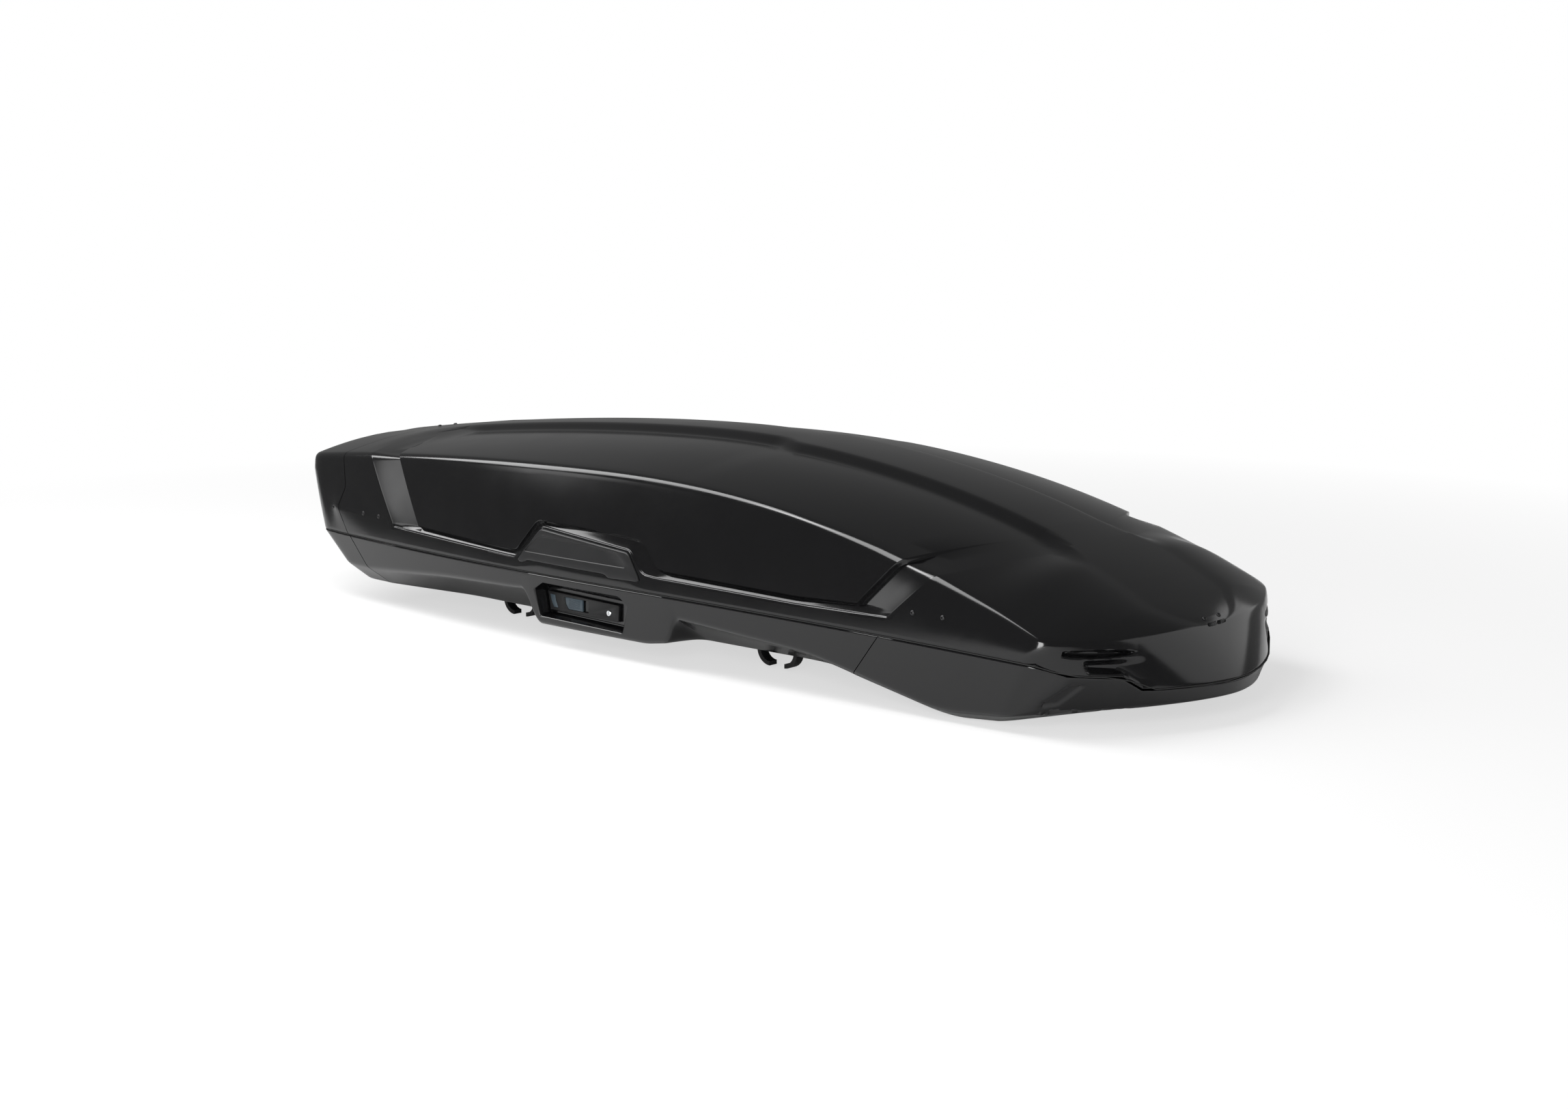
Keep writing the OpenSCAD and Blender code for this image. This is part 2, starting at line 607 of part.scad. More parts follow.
plate_outline = [[-254, -43], [-34, -48], [-37, -84], [-245, -83]];
module lock_plate(side) {
    mirrored(side) color(satin_black) difference() {
        translate([0, -plate_face_y + plate_thickness, seam_height]) rotate([90, 0, 0])
            linear_extrude(height = plate_thickness) polygon(plate_outline);
        translate([slider_x - slip, -plate_face_y - 1, slider_z - slip])
            cube([slider_length + lock_travel + 2 * slip, plate_thickness + 2, slider_height + 2 * slip]);
        translate([key_x, -plate_face_y + plate_thickness + 1, key_z]) rotate([90, 0, 0])
            cylinder(h = plate_thickness + 2, r = key_r + slip);
    }
}
module lock_slider(side) {
    mirrored(side) color([0.18, 0.22, 0.26]) {
        translate([slider_x, -plate_face_y - 1.5, slider_z])
            cube([slider_length, plate_thickness + 1.5 - slip, slider_height]);
        translate([stem_x, -plate_face_y, stem_z])
            cube([stem_length, plate_face_y - tab_y_near + 4, stem_height]);
    }
}
module status_window(side) {
    mirrored(side) color([0.3, 0.34, 0.38]) translate([0, -plate_face_y, seam_height])
        rotate([90, 0, 0]) linear_extrude(height = 0.6)
            polygon([[-247, -49], [-231, -50], [-229, -62], [-222, -77], [-236, -77], [-243, -64]]);
}
module key_cylinder(side) {
    mirrored(side) color(zinc_grey) translate([key_x, -plate_face_y + 20, key_z]) rotate([90, 0, 0])
        difference() {
            cylinder(h = 21.5, r = key_r);
            translate([-0.7, -key_r + 2, 19]) cube([1.4, 2 * key_r - 4, 4]);
        }
}

// ---- lock channel, sliding rod and striker rail ----
channel_y = bezel_back_y - slip;
channel_width = 22;
channel_height = 24;
channel_wall = 3;
channel_z = seam_height - 34;
rail_mid_x = -100;
rail_from = rail_mid_x - rail_length / 2;
channel_mid_y = channel_y - channel_width / 2;
slot_width = 11;
foot_width = 24;
wall_margin = 1;
rod_width = 14;
rod_thickness = 3;
rod_z = channel_z + 10;
tab_y_near = channel_y - 4;
tab_thickness = 3;
tab_width = 20;
keyhole_r = 5.2;
head_r = 4.5;
studs = [for (k = [-1 : 1]) rail_mid_x + k * stud_pitch];
module lock_channel(side) {
    mirrored(side) color(steel_grey) {
        for (x = [rail_from + 6, rail_from + rail_length - foot_width - 6]) {
            reach = min(half_w(x), half_w(x + foot_width)) - base_wall - base_lean * (seam_height - channel_z)
                - wall_margin;
            translate([x, -reach, channel_z]) cube([foot_width, reach - channel_y + 1, channel_wall]);
        }
        channel_profile();
    }
}
module channel_profile() {
    translate([rail_from, -channel_y, channel_z]) difference() {
        cube([rail_length, channel_width, channel_height]);
        translate([-1, channel_wall, channel_wall])
            cube([rail_length + 2, channel_width - 2 * channel_wall, channel_height - 2 * channel_wall]);
        translate([-1, (channel_width - slot_width) / 2, channel_wall])
            cube([rail_length + 2, slot_width, channel_height]);
        translate([stem_x - rail_from - 8, channel_wall, -1])
            cube([tab_width + lock_travel + 8, 5, channel_wall + 2]);
    }
}
module lock_rod(side) {
    mirrored(side) color(zinc_grey) difference() {
        union() {
            translate([rail_from + 10, -channel_mid_y - rod_width / 2, rod_z])
                cube([rail_length - 20 - lock_travel, rod_width, rod_thickness]);
            translate([stem_x - 4, -tab_y_near, stem_z - 5])
                cube([tab_width, tab_thickness, rod_z + rod_thickness - stem_z + 5]);
        }
        for (x = studs) {
            translate([x, -channel_mid_y, rod_z - 1]) cylinder(h = rod_thickness + 2, r = keyhole_r);
            translate([x - lock_travel - 3, -channel_mid_y - stud_r - 0.5, rod_z - 1])
                cube([lock_travel + 3, 2 * stud_r + 1, rod_thickness + 2]);
        }
        translate([stem_x - slip, -tab_y_near - 1, stem_z - slip])
            cube([stem_length + 2 * slip, tab_thickness + 2, stem_height + 2 * slip]);
    }
}
striker_z = channel_z + channel_height + slip;
striker_height = 7;
striker_width = 20;
bracket_x = [-400, -100, 230];
module striker_rail(side) {
    mirrored(side) color(steel_grey) {
        translate([rail_from + 20, -channel_mid_y - striker_width / 2, striker_z])
            cube([rail_length - 40, striker_width, striker_height]);
        for (x = studs) translate([x, -channel_mid_y, 0]) {
            translate([0, 0, rod_z - 4]) cylinder(h = striker_z - rod_z + 4 + eps, r = stud_r);
            translate([0, 0, rod_z - 6]) cylinder(h = 5, r = head_r);
        }
        for (x = bracket_x) {
            reach = half_w(x) - lid_wall - wall_lean * 12 - 1.2;
            translate([x - 14, -reach, striker_z + striker_height - eps])
                cube([28, reach - channel_mid_y + striker_width / 2, 3]);
        }
    }
}

// ---- lid lifters: a tube on the base and a rod that slides out of it, on the left side ----
lifter_x = [-650, 430];
// The panel's flat facets lie this far under its drawn curve, wall and seat included
lifter_facet_drop = [6.4, 8.3];
lifter_pivot_y = half_width - lifter_pivot_inset;
lifter_pivot_z = seam_height - 28;
lifter_top_y = 180;
lifter_top_z = seam_height + 185;
lifter_span = norm([lifter_pivot_y - lifter_top_y, lifter_top_z - lifter_pivot_z]);
lifter_angle = atan2(lifter_top_z - lifter_pivot_z, lifter_top_y - lifter_pivot_y);
tube_length = 215;
tube_start = 27;
rod_inner = 40;
eye_r = 7.5;
eye_width = 9;
module along_lifter(k) {
    translate([lifter_x[k], lifter_pivot_y, lifter_pivot_z]) rotate([lifter_angle, 0, 0]) children();
}
module lifter_tube(k) {
    along_lifter(k) color(satin_black) difference() {
        union() {
            rotate([0, 90, 0]) cylinder(h = eye_width, r = eye_r, center = true);
            translate([-eye_width / 2, 0, -eye_width / 2]) cube([eye_width, tube_start + 2, eye_width]);
            translate([0, tube_start, 0]) rotate([-90, 0, 0])
                cylinder(h = tube_length - tube_start, r = lifter_tube_r);
        }
        rotate([0, 90, 0]) cylinder(h = eye_width + 2, r = lifter_pin_r + 0.06, center = true);
        translate([0, tube_start + 6, 0]) rotate([-90, 0, 0])
            cylinder(h = tube_length, r = lifter_rod_r + slip);
    }
}
module lifter_rod(k) {
    along_lifter(k) color(zinc_grey) difference() {
        union() {
            translate([0, lifter_span - rod_inner - tube_length + 100, 0]) rotate([-90, 0, 0])
                cylinder(h = rod_inner + tube_length - 100 - 3, r = lifter_rod_r);
            translate([0, lifter_span, 0]) rotate([0, 90, 0]) cylinder(h = 6, r = 8, center = true);
        }
        translate([0, lifter_span, 0]) rotate([0, 90, 0])
            cylinder(h = 8, r = 5, center = true);
    }
}
cheek_gap = eye_width / 2 + slip;
cheek_thickness = 4;
module lifter_base_bracket(k) {
    x = lifter_x[k];
    back = half_w(x) - base_wall - base_lean * (seam_height - lifter_pivot_z + 14) - wall_margin;
    front = lifter_pivot_y - 10;
    color(steel_grey) {
        for (side = [-1, 1]) translate([x + (side < 0 ? -cheek_gap - cheek_thickness : cheek_gap),
            front, lifter_pivot_z - 14]) cube([cheek_thickness, back - front, 24]);
        translate([x - 20, back - 4, lifter_pivot_z - 14]) cube([40, 4, 30]);
        translate([x, lifter_pivot_y, lifter_pivot_z]) rotate([0, 90, 0])
            cylinder(h = 2 * (cheek_gap + cheek_thickness) + 4, r = lifter_pin_r, center = true);
    }
}
// The lid end has open forks, because the lifter's upper pivot is left apart
module lifter_lid_bracket(k) {
    x = lifter_x[k];
    top = min(lid_top_z(x - 16, lifter_top_y + 18), lid_top_z(x + 16, lifter_top_y + 18))
        - lifter_facet_drop[k];
    low = lifter_top_z - 10;
    color(steel_grey) {
        for (side = [-1, 1]) translate([x + (side < 0 ? -11 : 7), lifter_top_y - 14, low])
            cube([4, 28, top - low]);
        translate([x - 16, lifter_top_y - 18, top - 4]) cube([32, 36, 4]);
    }
}

// ---- roof-bar clamps ----
jaw_pivot_z = floor_top_z + 13.5;
body_height = 46;
body_length = 2 * jaw_pivot_x + 42;
body_width = 48;
body_wall = 4;
knob_z = floor_top_z + body_height + slip;
module clamp_body(bar, side) {
    cavity_width = jaw_width + 3;
    color(satin_black) translate([bar, side * clamp_y, floor_top_z]) {
        difference() {
            union() {
                translate([-clamp_plate_length / 2, -body_width / 2 - 6, 0])
                    cube([clamp_plate_length, body_width + 12, 5]);
                translate([-body_length / 2, -body_width / 2, 0]) cube([body_length, body_width, body_height]);
            }
            translate([-body_length / 2 + body_wall, -cavity_width / 2, -1])
                cube([body_length - 2 * body_wall, cavity_width, body_height - 5]);
            translate([-slot_half_length, -cavity_width / 2, -1]) cube([2 * slot_half_length, cavity_width, 7]);
            translate([0, 0, body_height - 8]) cylinder(h = 10, r = 7 + 0.06);
        }
        for (end = [-1, 1]) translate([end * jaw_pivot_x, 0, jaw_pivot_z - floor_top_z])
            rotate([90, 0, 0]) cylinder(h = cavity_width + 2, r = jaw_pin_r, center = true);
    }
}
module torque_knob(bar, side) {
    color([0.75, 0.1, 0.08]) translate([bar, side * clamp_y, knob_z]) {
        cylinder(h = 12, r = knob_d / 2 - 3);
        for (k = [0 : 5]) rotate([0, 0, k * 60]) translate([knob_d / 2 - 6, 0, 0])
            cylinder(h = 16, r = 6);
        translate([0, 0, -4]) cylinder(h = 20, r = 7);
    }
}
claw_thickness = 9;
claw_in = 25;
claw_down = 24;
claw_start_x = claw_r - claw_in;
module jaw_plate() {
    linear_extrude(height = jaw_width, center = true) children();
}
module jaw(bar, side, end) {
    translate([bar + end * jaw_pivot_x, side * clamp_y, jaw_pivot_z])
        rotate([0, 0, end < 0 ? 180 : 0]) rotate([90, 0, 0]) color(satin_black) difference() {
            union() {
                jaw_plate() circle(r = 9);
                jaw_plate() polygon([[-7, 0], [8, 0], [claw_start_x, -claw_down - 2],
                    [claw_start_x - claw_thickness, -claw_down - 2]]);
                translate([-claw_in, -claw_down, 0]) difference() {
                    cylinder(h = jaw_width, r = claw_r, center = true);
                    cylinder(h = jaw_width + 2, r = claw_r - claw_thickness, center = true);
                    translate([-2 * claw_r, -2 * claw_r, -jaw_width])
                        cube([2 * claw_r, 4 * claw_r, 2 * jaw_width]);
                    translate([-eps, 0, -jaw_width]) cube([2 * claw_r, 2 * claw_r, 2 * jaw_width]);
                }
            }
            cylinder(h = jaw_width + 2, r = jaw_pin_r + 0.06, center = true);
        }
}

lid_shell();
lid_rear_cap();
stiffener(3.7, 4);  // lid_stiffener_rear
stiffener(5, 5.25);  // lid_stiffener_front
grip_trim(-1);  // grip_trim_right
grip_trim(1);  // grip_trim_left
lid_side_screws();
lid_top_screws();
rim_seal();
lid_light(0);  // lid_light_rear
lid_light(1);  // lid_light_front
light_button(0);  // light_button_rear
light_button(1);  // light_button_front
lifter_lid_bracket(0);  // lifter_lid_bracket_rear
lifter_lid_bracket(1);  // lifter_lid_bracket_front
striker_rail(-1);  // striker_rail_right
striker_rail(1);  // striker_rail_left
base_shell();
base_rear_cap();
base_front_cap();
floor_mat();
floor_rail(-1);  // floor_rail_right
floor_rail(1);  // floor_rail_left
lock_bezel(-1);  // lock_bezel_right
lock_bezel(1);  // lock_bezel_left
lock_plate(-1);  // lock_plate_right
lock_plate(1);  // lock_plate_left
status_window(-1);  // status_window_right
status_window(1);  // status_window_left
lock_slider(-1);  // lock_slider_right
lock_slider(1);  // lock_slider_left
key_cylinder(-1);  // key_cylinder_right
key_cylinder(1);  // key_cylinder_left
lock_channel(-1);  // lock_channel_right
lock_channel(1);  // lock_channel_left
lock_rod(-1);  // lock_rod_right
lock_rod(1);  // lock_rod_left
lifter_base_bracket(0);  // lifter_base_bracket_rear
lifter_base_bracket(1);  // lifter_base_bracket_front
lifter_tube(0);  // lifter_tube_rear
lifter_tube(1);  // lifter_tube_front
lifter_rod(0);  // lifter_rod_rear
lifter_rod(1);  // lifter_rod_front
clamp_body(rear_bar_x, -1);  // clamp_body_rear_right
clamp_body(rear_bar_x, 1);  // clamp_body_rear_left
clamp_body(front_bar_x, -1);  // clamp_body_front_right
clamp_body(front_bar_x, 1);  // clamp_body_front_left
torque_knob(rear_bar_x, -1);  // torque_knob_rear_right
torque_knob(rear_bar_x, 1);  // torque_knob_rear_left
torque_knob(front_bar_x, -1);  // torque_knob_front_right
torque_knob(front_bar_x, 1);  // torque_knob_front_left
jaw(rear_bar_x, -1, -1);  // jaw_aft_rear_right
jaw(rear_bar_x, -1, 1);  // jaw_fore_rear_right
jaw(rear_bar_x, 1, -1);  // jaw_aft_rear_left
jaw(rear_bar_x, 1, 1);  // jaw_fore_rear_left
jaw(front_bar_x, -1, -1);  // jaw_aft_front_right
jaw(front_bar_x, -1, 1);  // jaw_fore_front_right
jaw(front_bar_x, 1, -1);  // jaw_aft_front_left
jaw(front_bar_x, 1, 1);  // jaw_fore_front_left
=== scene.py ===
"""Roof cargo box: the looks of its lid, base, locks and clamps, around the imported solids."""

import math

import bmesh
import bpy
import numpy as np
from mathutils import Matrix, Vector


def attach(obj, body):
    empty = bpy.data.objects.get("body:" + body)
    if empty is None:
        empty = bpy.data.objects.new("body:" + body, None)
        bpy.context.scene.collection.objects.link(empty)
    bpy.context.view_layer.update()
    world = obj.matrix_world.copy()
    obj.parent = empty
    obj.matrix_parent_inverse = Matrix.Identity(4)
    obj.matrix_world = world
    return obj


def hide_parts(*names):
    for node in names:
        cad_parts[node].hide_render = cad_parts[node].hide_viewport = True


bl_info = {
    "name": "Roof cargo box",
    "version": (1, 0, 0),
    "blender": (4, 5, 0),
    "location": "View3D > Sidebar > Cargo box",
    "description": "Builds the shells, trims, locks and studio of a roof cargo box",
    "category": "Add Mesh",
}

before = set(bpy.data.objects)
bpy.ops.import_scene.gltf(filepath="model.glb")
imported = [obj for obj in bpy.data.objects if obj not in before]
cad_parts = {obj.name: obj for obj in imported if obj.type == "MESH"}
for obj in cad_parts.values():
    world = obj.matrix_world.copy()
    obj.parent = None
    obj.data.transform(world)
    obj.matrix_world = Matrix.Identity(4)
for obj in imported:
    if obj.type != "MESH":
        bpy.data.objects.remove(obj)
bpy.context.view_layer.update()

MM = 0.001
SIDES = {"right": -1, "left": 1}

# ---------------------------------------------------------------- outlines of the box, in mm
TAIL_X = -1192.0
NOSE_X = 1192.0
SEAM_HEIGHT = 160.0
HALF_WIDTH = 450.0
WIDEST_X = -200.0
TAIL_SEAM_X = TAIL_X + 92
CORNER_X = NOSE_X - 188
CORNER_CREST_X = NOSE_X - 171
TIP_CREST_X = NOSE_X - 53
TAIL_NARROWING = 62.0
NOSE_NARROWING = 57.0
LEAN = 0.17
SIDE_BULGE = 3.0
TOP_X = -100.0
SPINE_TOP_X = -50.0
SPINE_CROWN = 2.6
SEAM_BOW = 1.84
CREST_BOW = 2.3
TAIL_ROUND = 28.0
BASE_LEAN = 0.12


def lerp(a, b, t):
    return a + (b - a) * t


def ease(t):
    t = np.clip(t, 0.0, 1.0)
    return t * t * (3 - 2 * t)


def half_w(x):
    rear = HALF_WIDTH - TAIL_NARROWING * np.clip((WIDEST_X - x) / (WIDEST_X - TAIL_SEAM_X), 0, None) ** 2
    front = HALF_WIDTH - NOSE_NARROWING * np.clip((x - WIDEST_X) / (CORNER_X - WIDEST_X), 0, None) ** 1.5
    return np.where(x < WIDEST_X, rear, front)


def seam_z(x):
    return SEAM_HEIGHT - 21.0 * np.clip((x + 500.0) / (CORNER_X + 500.0), 0, None) ** 3


def side_crest_z(x):
    rear = 230.0 - 55.0 * np.clip((TOP_X - x) / (TOP_X - TAIL_SEAM_X), 0, None) ** 1.9
    front = 230.0 - 211.0 * np.clip((x - TOP_X) / (CORNER_CREST_X - TOP_X), 0, None) ** 2.2
    return SEAM_HEIGHT + np.where(x < TOP_X, rear, front)


def side_crest_y(x):
    return half_w(x) - LEAN * (side_crest_z(x) - seam_z(x))


def spine_z(x):
    t = np.clip((x - SPINE_TOP_X) / (TIP_CREST_X - SPINE_TOP_X), 0, None)
    rear = 290.0 - 79.4 * np.clip((SPINE_TOP_X - x) / (SPINE_TOP_X - TAIL_SEAM_X), 0, None) ** 1.72
    front = 290.0 - 222.0 * t * t - 53.0 * t**6
    return SEAM_HEIGHT + np.where(x < SPINE_TOP_X, rear, front)


CORNER_Y = float(half_w(CORNER_X))
CORNER_CREST_Y = float(side_crest_y(CORNER_CREST_X))
CORNER_CREST_Z = float(side_crest_z(CORNER_CREST_X))
TIP_CREST_Z = float(spine_z(TIP_CREST_X))
LID_TIP_X = NOSE_X - 0.5


def nose_seam(f):
    drop = np.interp(f, [0, 0.5, 0.575, 0.66, 0.7, 0.88, 1], [80, 76, 74, 50, 48, 41, 21])
    return lerp(LID_TIP_X, CORNER_X, f**SEAM_BOW), -CORNER_Y * f, SEAM_HEIGHT - drop


def nose_crest(f):
    x = lerp(TIP_CREST_X, CORNER_CREST_X, f**CREST_BOW)
    return x, -CORNER_CREST_Y * f, lerp(TIP_CREST_Z, CORNER_CREST_Z, f * f)


def crest_yz(x):
    f = np.clip((TIP_CREST_X - x) / (TIP_CREST_X - CORNER_CREST_X), 0, 1) ** (1 / CREST_BOW)
    nose_z = lerp(TIP_CREST_Z, CORNER_CREST_Z, f * f)
    ahead = x >= CORNER_CREST_X
    return np.where(ahead, CORNER_CREST_Y * f, side_crest_y(x)), np.where(ahead, nose_z, side_crest_z(x))


def spine_half(x):
    jog = lerp(62.0, 86.0, ease((x - 118.0) / 50.0))
    return jog + 34.0 * ease((x - NOSE_X + 382.0) / 120.0)


def spine_rise(x):
    return 17.0 * ease((x - TAIL_X - 220.0) / 150.0) * (1 - ease((x - NOSE_X + 352.0) / 110.0))


def foot_y(x):
    return lerp(250.0, spine_half(x) + 28.0, ease((x - TAIL_X - 320.0) / 105.0))


def lid_top_z(x, a):
    """Height of the lid's top at a distance a from the middle."""
    yc, zc = crest_yz(x)
    half = np.minimum(spine_half(x), 0.4 * yc)
    foot = np.minimum(half + 28.0, 0.6 * yc)
    zs = spine_z(x)
    zf = zs - spine_rise(x)
    crown = zs + SPINE_CROWN * (1 - (a / (half + 1e-6)) ** 2) * np.clip(yc / 150.0, 0, 1)
    slope = lerp(zs, zf, (a - half) / (foot - half + 1e-6))
    panel = lerp(zc, zf, 1 - np.clip((a - foot) / (yc - foot + 1e-6), 0, 1) ** 1.8)
    return np.where(a < half, crown, np.where(a < foot, slope, panel))


def tail_cut(u, radius=TAIL_ROUND, span=0.3):
    k = 1 - min(max(u / span, 0.0), 1.0)
    return radius * (1 - math.sqrt(1 - k * k))


# ---------------------------------------------------------------- small mesh helpers
def box(name, half_x, half_y, z_from, z_to):
    """A small box about the Z axis, in mm."""
    corners = [(x, y, z) for x in (-half_x, half_x) for y in (-half_y, half_y) for z in (z_from, z_to)]
    faces = [(0, 1, 3, 2), (4, 6, 7, 5), (0, 4, 5, 1), (2, 3, 7, 6), (0, 2, 6, 4), (1, 5, 7, 3)]
    return make_object(name, corners, faces)


def make_object(name, verts_mm, faces, merge=0.01):
    """A mesh object at the origin, from points in mm; doubles closer than merge are joined."""
    mesh = bpy.data.meshes.new(name)
    mesh.from_pydata([tuple(float(c) * MM for c in v) for v in verts_mm], [], faces)
    bm = bmesh.new()
    bm.from_mesh(mesh)
    if merge:
        bmesh.ops.remove_doubles(bm, verts=bm.verts, dist=merge * MM)
        bmesh.ops.dissolve_degenerate(bm, edges=bm.edges, dist=merge * MM)
    bmesh.ops.recalc_face_normals(bm, faces=bm.faces)
    bm.to_mesh(mesh)
    bm.free()
    obj = bpy.data.objects.new(name, mesh)
    bpy.context.scene.collection.objects.link(obj)
    return obj


def shade(obj, angle=35.0):
    for poly in obj.data.polygons:
        poly.use_smooth = True
    bm = bmesh.new()
    bm.from_mesh(obj.data)
    limit = math.radians(angle)
    for edge in bm.edges:
        if len(edge.link_faces) == 2 and edge.calc_face_angle(0.0) > limit:
            edge.smooth = False
    bm.to_mesh(obj.data)
    bm.free()


def apply_modifiers(obj):
    graph = bpy.context.evaluated_depsgraph_get()
    graph.update()
    mesh = bpy.data.meshes.new_from_object(obj.evaluated_get(graph))
    obj.modifiers.clear()
    old = obj.data
    obj.data = mesh
    bpy.data.meshes.remove(old)
    return obj


def modify(obj, kind, **settings):
    modifier = obj.modifiers.new(kind.lower(), kind)
    for key, value in settings.items():
        setattr(modifier, key, value)


def bevelled(obj, width_mm, segments=2, angle=30.0):
    modify(obj, "BEVEL", width=width_mm * MM, segments=segments, limit_method="ANGLE",
           angle_limit=math.radians(angle))
    return apply_modifiers(obj)


def cut(obj, tools):
    for tool in tools:
        modify(obj, "BOOLEAN", operation="DIFFERENCE", object=tool, solver="EXACT")
        apply_modifiers(obj)
        bpy.data.objects.remove(tool)
    return obj


def prism(name, outline, y_from, y_to):
    """A straight prism along Y, from an outline of (x, z) points in mm."""
    n = len(outline)
    verts = [(x, y, z) for y in (y_from, y_to) for x, z in outline]
    faces = [tuple(range(n)), tuple(range(2 * n - 1, n - 1, -1))]
    faces += [(i, i + n, (i + 1) % n + n, (i + 1) % n) for i in range(n)]
    return make_object(name, verts, faces, merge=0)


def rings(name, loops, close_first=True, close_last=True):
    """A skin through loops of points that have the same count."""
    n = len(loops[0])
    verts = [p for loop in loops for p in loop]
    faces = []
    for k in range(len(loops) - 1):
        for i in range(n):
            j = (i + 1) % n
            faces.append((k * n + i, k * n + j, (k + 1) * n + j, (k + 1) * n + i))
    if close_first:
        faces.append(tuple(range(n)))
    if close_last:
        faces.append(tuple(range(len(verts) - n, len(verts))))
    return make_object(name, verts, faces, merge=0.001)


def rounded(outline, radius, steps=4):
    """Rounds the corners of a closed outline of (x, z) points."""
    out = []
    n = len(outline)
    for i in range(n):
        a, b, c = (np.array(outline[k % n], float) for k in (i - 1, i, i + 1))
        r = min(radius, 0.45 * np.linalg.norm(a - b), 0.45 * np.linalg.norm(c - b))
        p = b + (a - b) / np.linalg.norm(a - b) * r
        q = b + (c - b) / np.linalg.norm(c - b) * r
        for t in np.linspace(0, 1, steps):
            out.append(tuple((1 - t) ** 2 * p + 2 * t * (1 - t) * b + t * t * q))
    return out


def resampled(outline, count):
    """The same closed outline with a given count of evenly spaced points."""
    pts = np.array(list(outline) + [outline[0]], float)
    length = np.concatenate([[0], np.cumsum(np.linalg.norm(np.diff(pts, axis=0), axis=1))])
    at = np.linspace(0, length[-1], count, endpoint=False)
    return [(np.interp(s, length, pts[:, 0]), np.interp(s, length, pts[:, 1])) for s in at]


def inset(outline, distance):
    """Moves each point of a closed outline inwards."""
    pts = np.array(outline, float)
    area = np.sum(pts[:, 0] * np.roll(pts[:, 1], -1) - np.roll(pts[:, 0], -1) * pts[:, 1])
    turn = np.sign(area)
    before = pts - np.roll(pts, 1, axis=0)
    after = np.roll(pts, -1, axis=0) - pts
    n1 = turn * np.stack([-before[:, 1], before[:, 0]], 1)
    n2 = turn * np.stack([-after[:, 1], after[:, 0]], 1)
    n1 /= np.linalg.norm(n1, axis=1)[:, None] + 1e-9
    n2 /= np.linalg.norm(n2, axis=1)[:, None] + 1e-9
    m = n1 + n2
    m /= np.linalg.norm(m, axis=1)[:, None] + 1e-9
    k = distance / np.maximum(np.sum(m * n1, axis=1), 0.5)
    return [tuple(p) for p in pts + m * k[:, None]]


def normals_of(grid):
    du = np.gradient(grid, axis=0)
    dv = np.gradient(grid, axis=1)
    n = np.cross(du, dv)
    return n / (np.linalg.norm(n, axis=2)[..., None] + 1e-9)


def bezier(a, b, c, t):
    return (1 - t) ** 2 * a + 2 * t * (1 - t) * b + t * t * c


# ---------------------------------------------------------------- lid surface
LID_SEAM = [TAIL_SEAM_X, TAIL_X + 222, TAIL_X + 450, TAIL_X + 552, -330.0, 100.0, NOSE_X - 632,
            NOSE_X - 547, CORNER_X]
LID_CREST = [TAIL_X + 6, TAIL_X + 165, TAIL_X + 285, TAIL_X + 404, -330.0, 100.0, NOSE_X - 502,
             NOSE_X - 423, CORNER_CREST_X]
TOP_SHIFT = [-4.0, 0, -52, -120, 0, 0, 118, 112, 0, 0]
# Heights of the groove's two edges over the seam, by station from the tail's seam corner
GROOVE_LOW = ([0, 333, 771, 782, 846, 856, 1116, 1156, 1168, 1192, 1562, 1780, 2300],
              [30, 38, 25, 29, 96, 99, 77, 36, 32, 30, 27, 32, 32])
GROOVE_UP = ([0, 423, 766, 776, 832, 846, 1078, 1140, 1156, 1196, 1210, 1560, 1704, 2300],
             [50, 53, 41, 44, 108, 113, 108, 103, 97, 53, 48, 44, 52, 50])
STEP_T = [0, 0.05, 0.1, 0.15, 0.2, 0.45, 0.7, 0.775, 0.85, 0.925]
# Depth of the groove's floor at its outer and inner edge, along its foot and along its two legs
FOOT_STEPS = (4.0, 9.0)
LEG_STEPS = (0.5, 13.0)
OUTER_RUN = 4.0
INNER_RUN = 6.0
LIP_ROUND = 1.5
CREST_ROUND = 14.0


def groove_fraction(t, width):
    """Where on a band of this width, 0 to 1, the line t of the groove's profile lies."""
    a = min(OUTER_RUN / width, 0.35)
    b = min(INNER_RUN / width, 0.42)
    return np.interp(t, [0, 0.2, 0.7, 1], [0, a, 1 - b, 1])


def groove_profile(t, steps):
    floor = lerp(steps[0], steps[1], np.clip((t - 0.2) / 0.5, 0, 1))
    return floor * ease(t / 0.2) * (1 - ease((t - 0.7) / 0.3))


def groove_depth(across_leg, across_foot):
    """Depth under the face, from the place across a leg and across the foot, 0 outside to 1 on the pod."""
    t = np.minimum(across_leg, across_foot)
    leg_share = ease((across_foot - across_leg) / 0.4 + 0.5)
    return lerp(groove_profile(t, FOOT_STEPS), groove_profile(t, LEG_STEPS), leg_share)


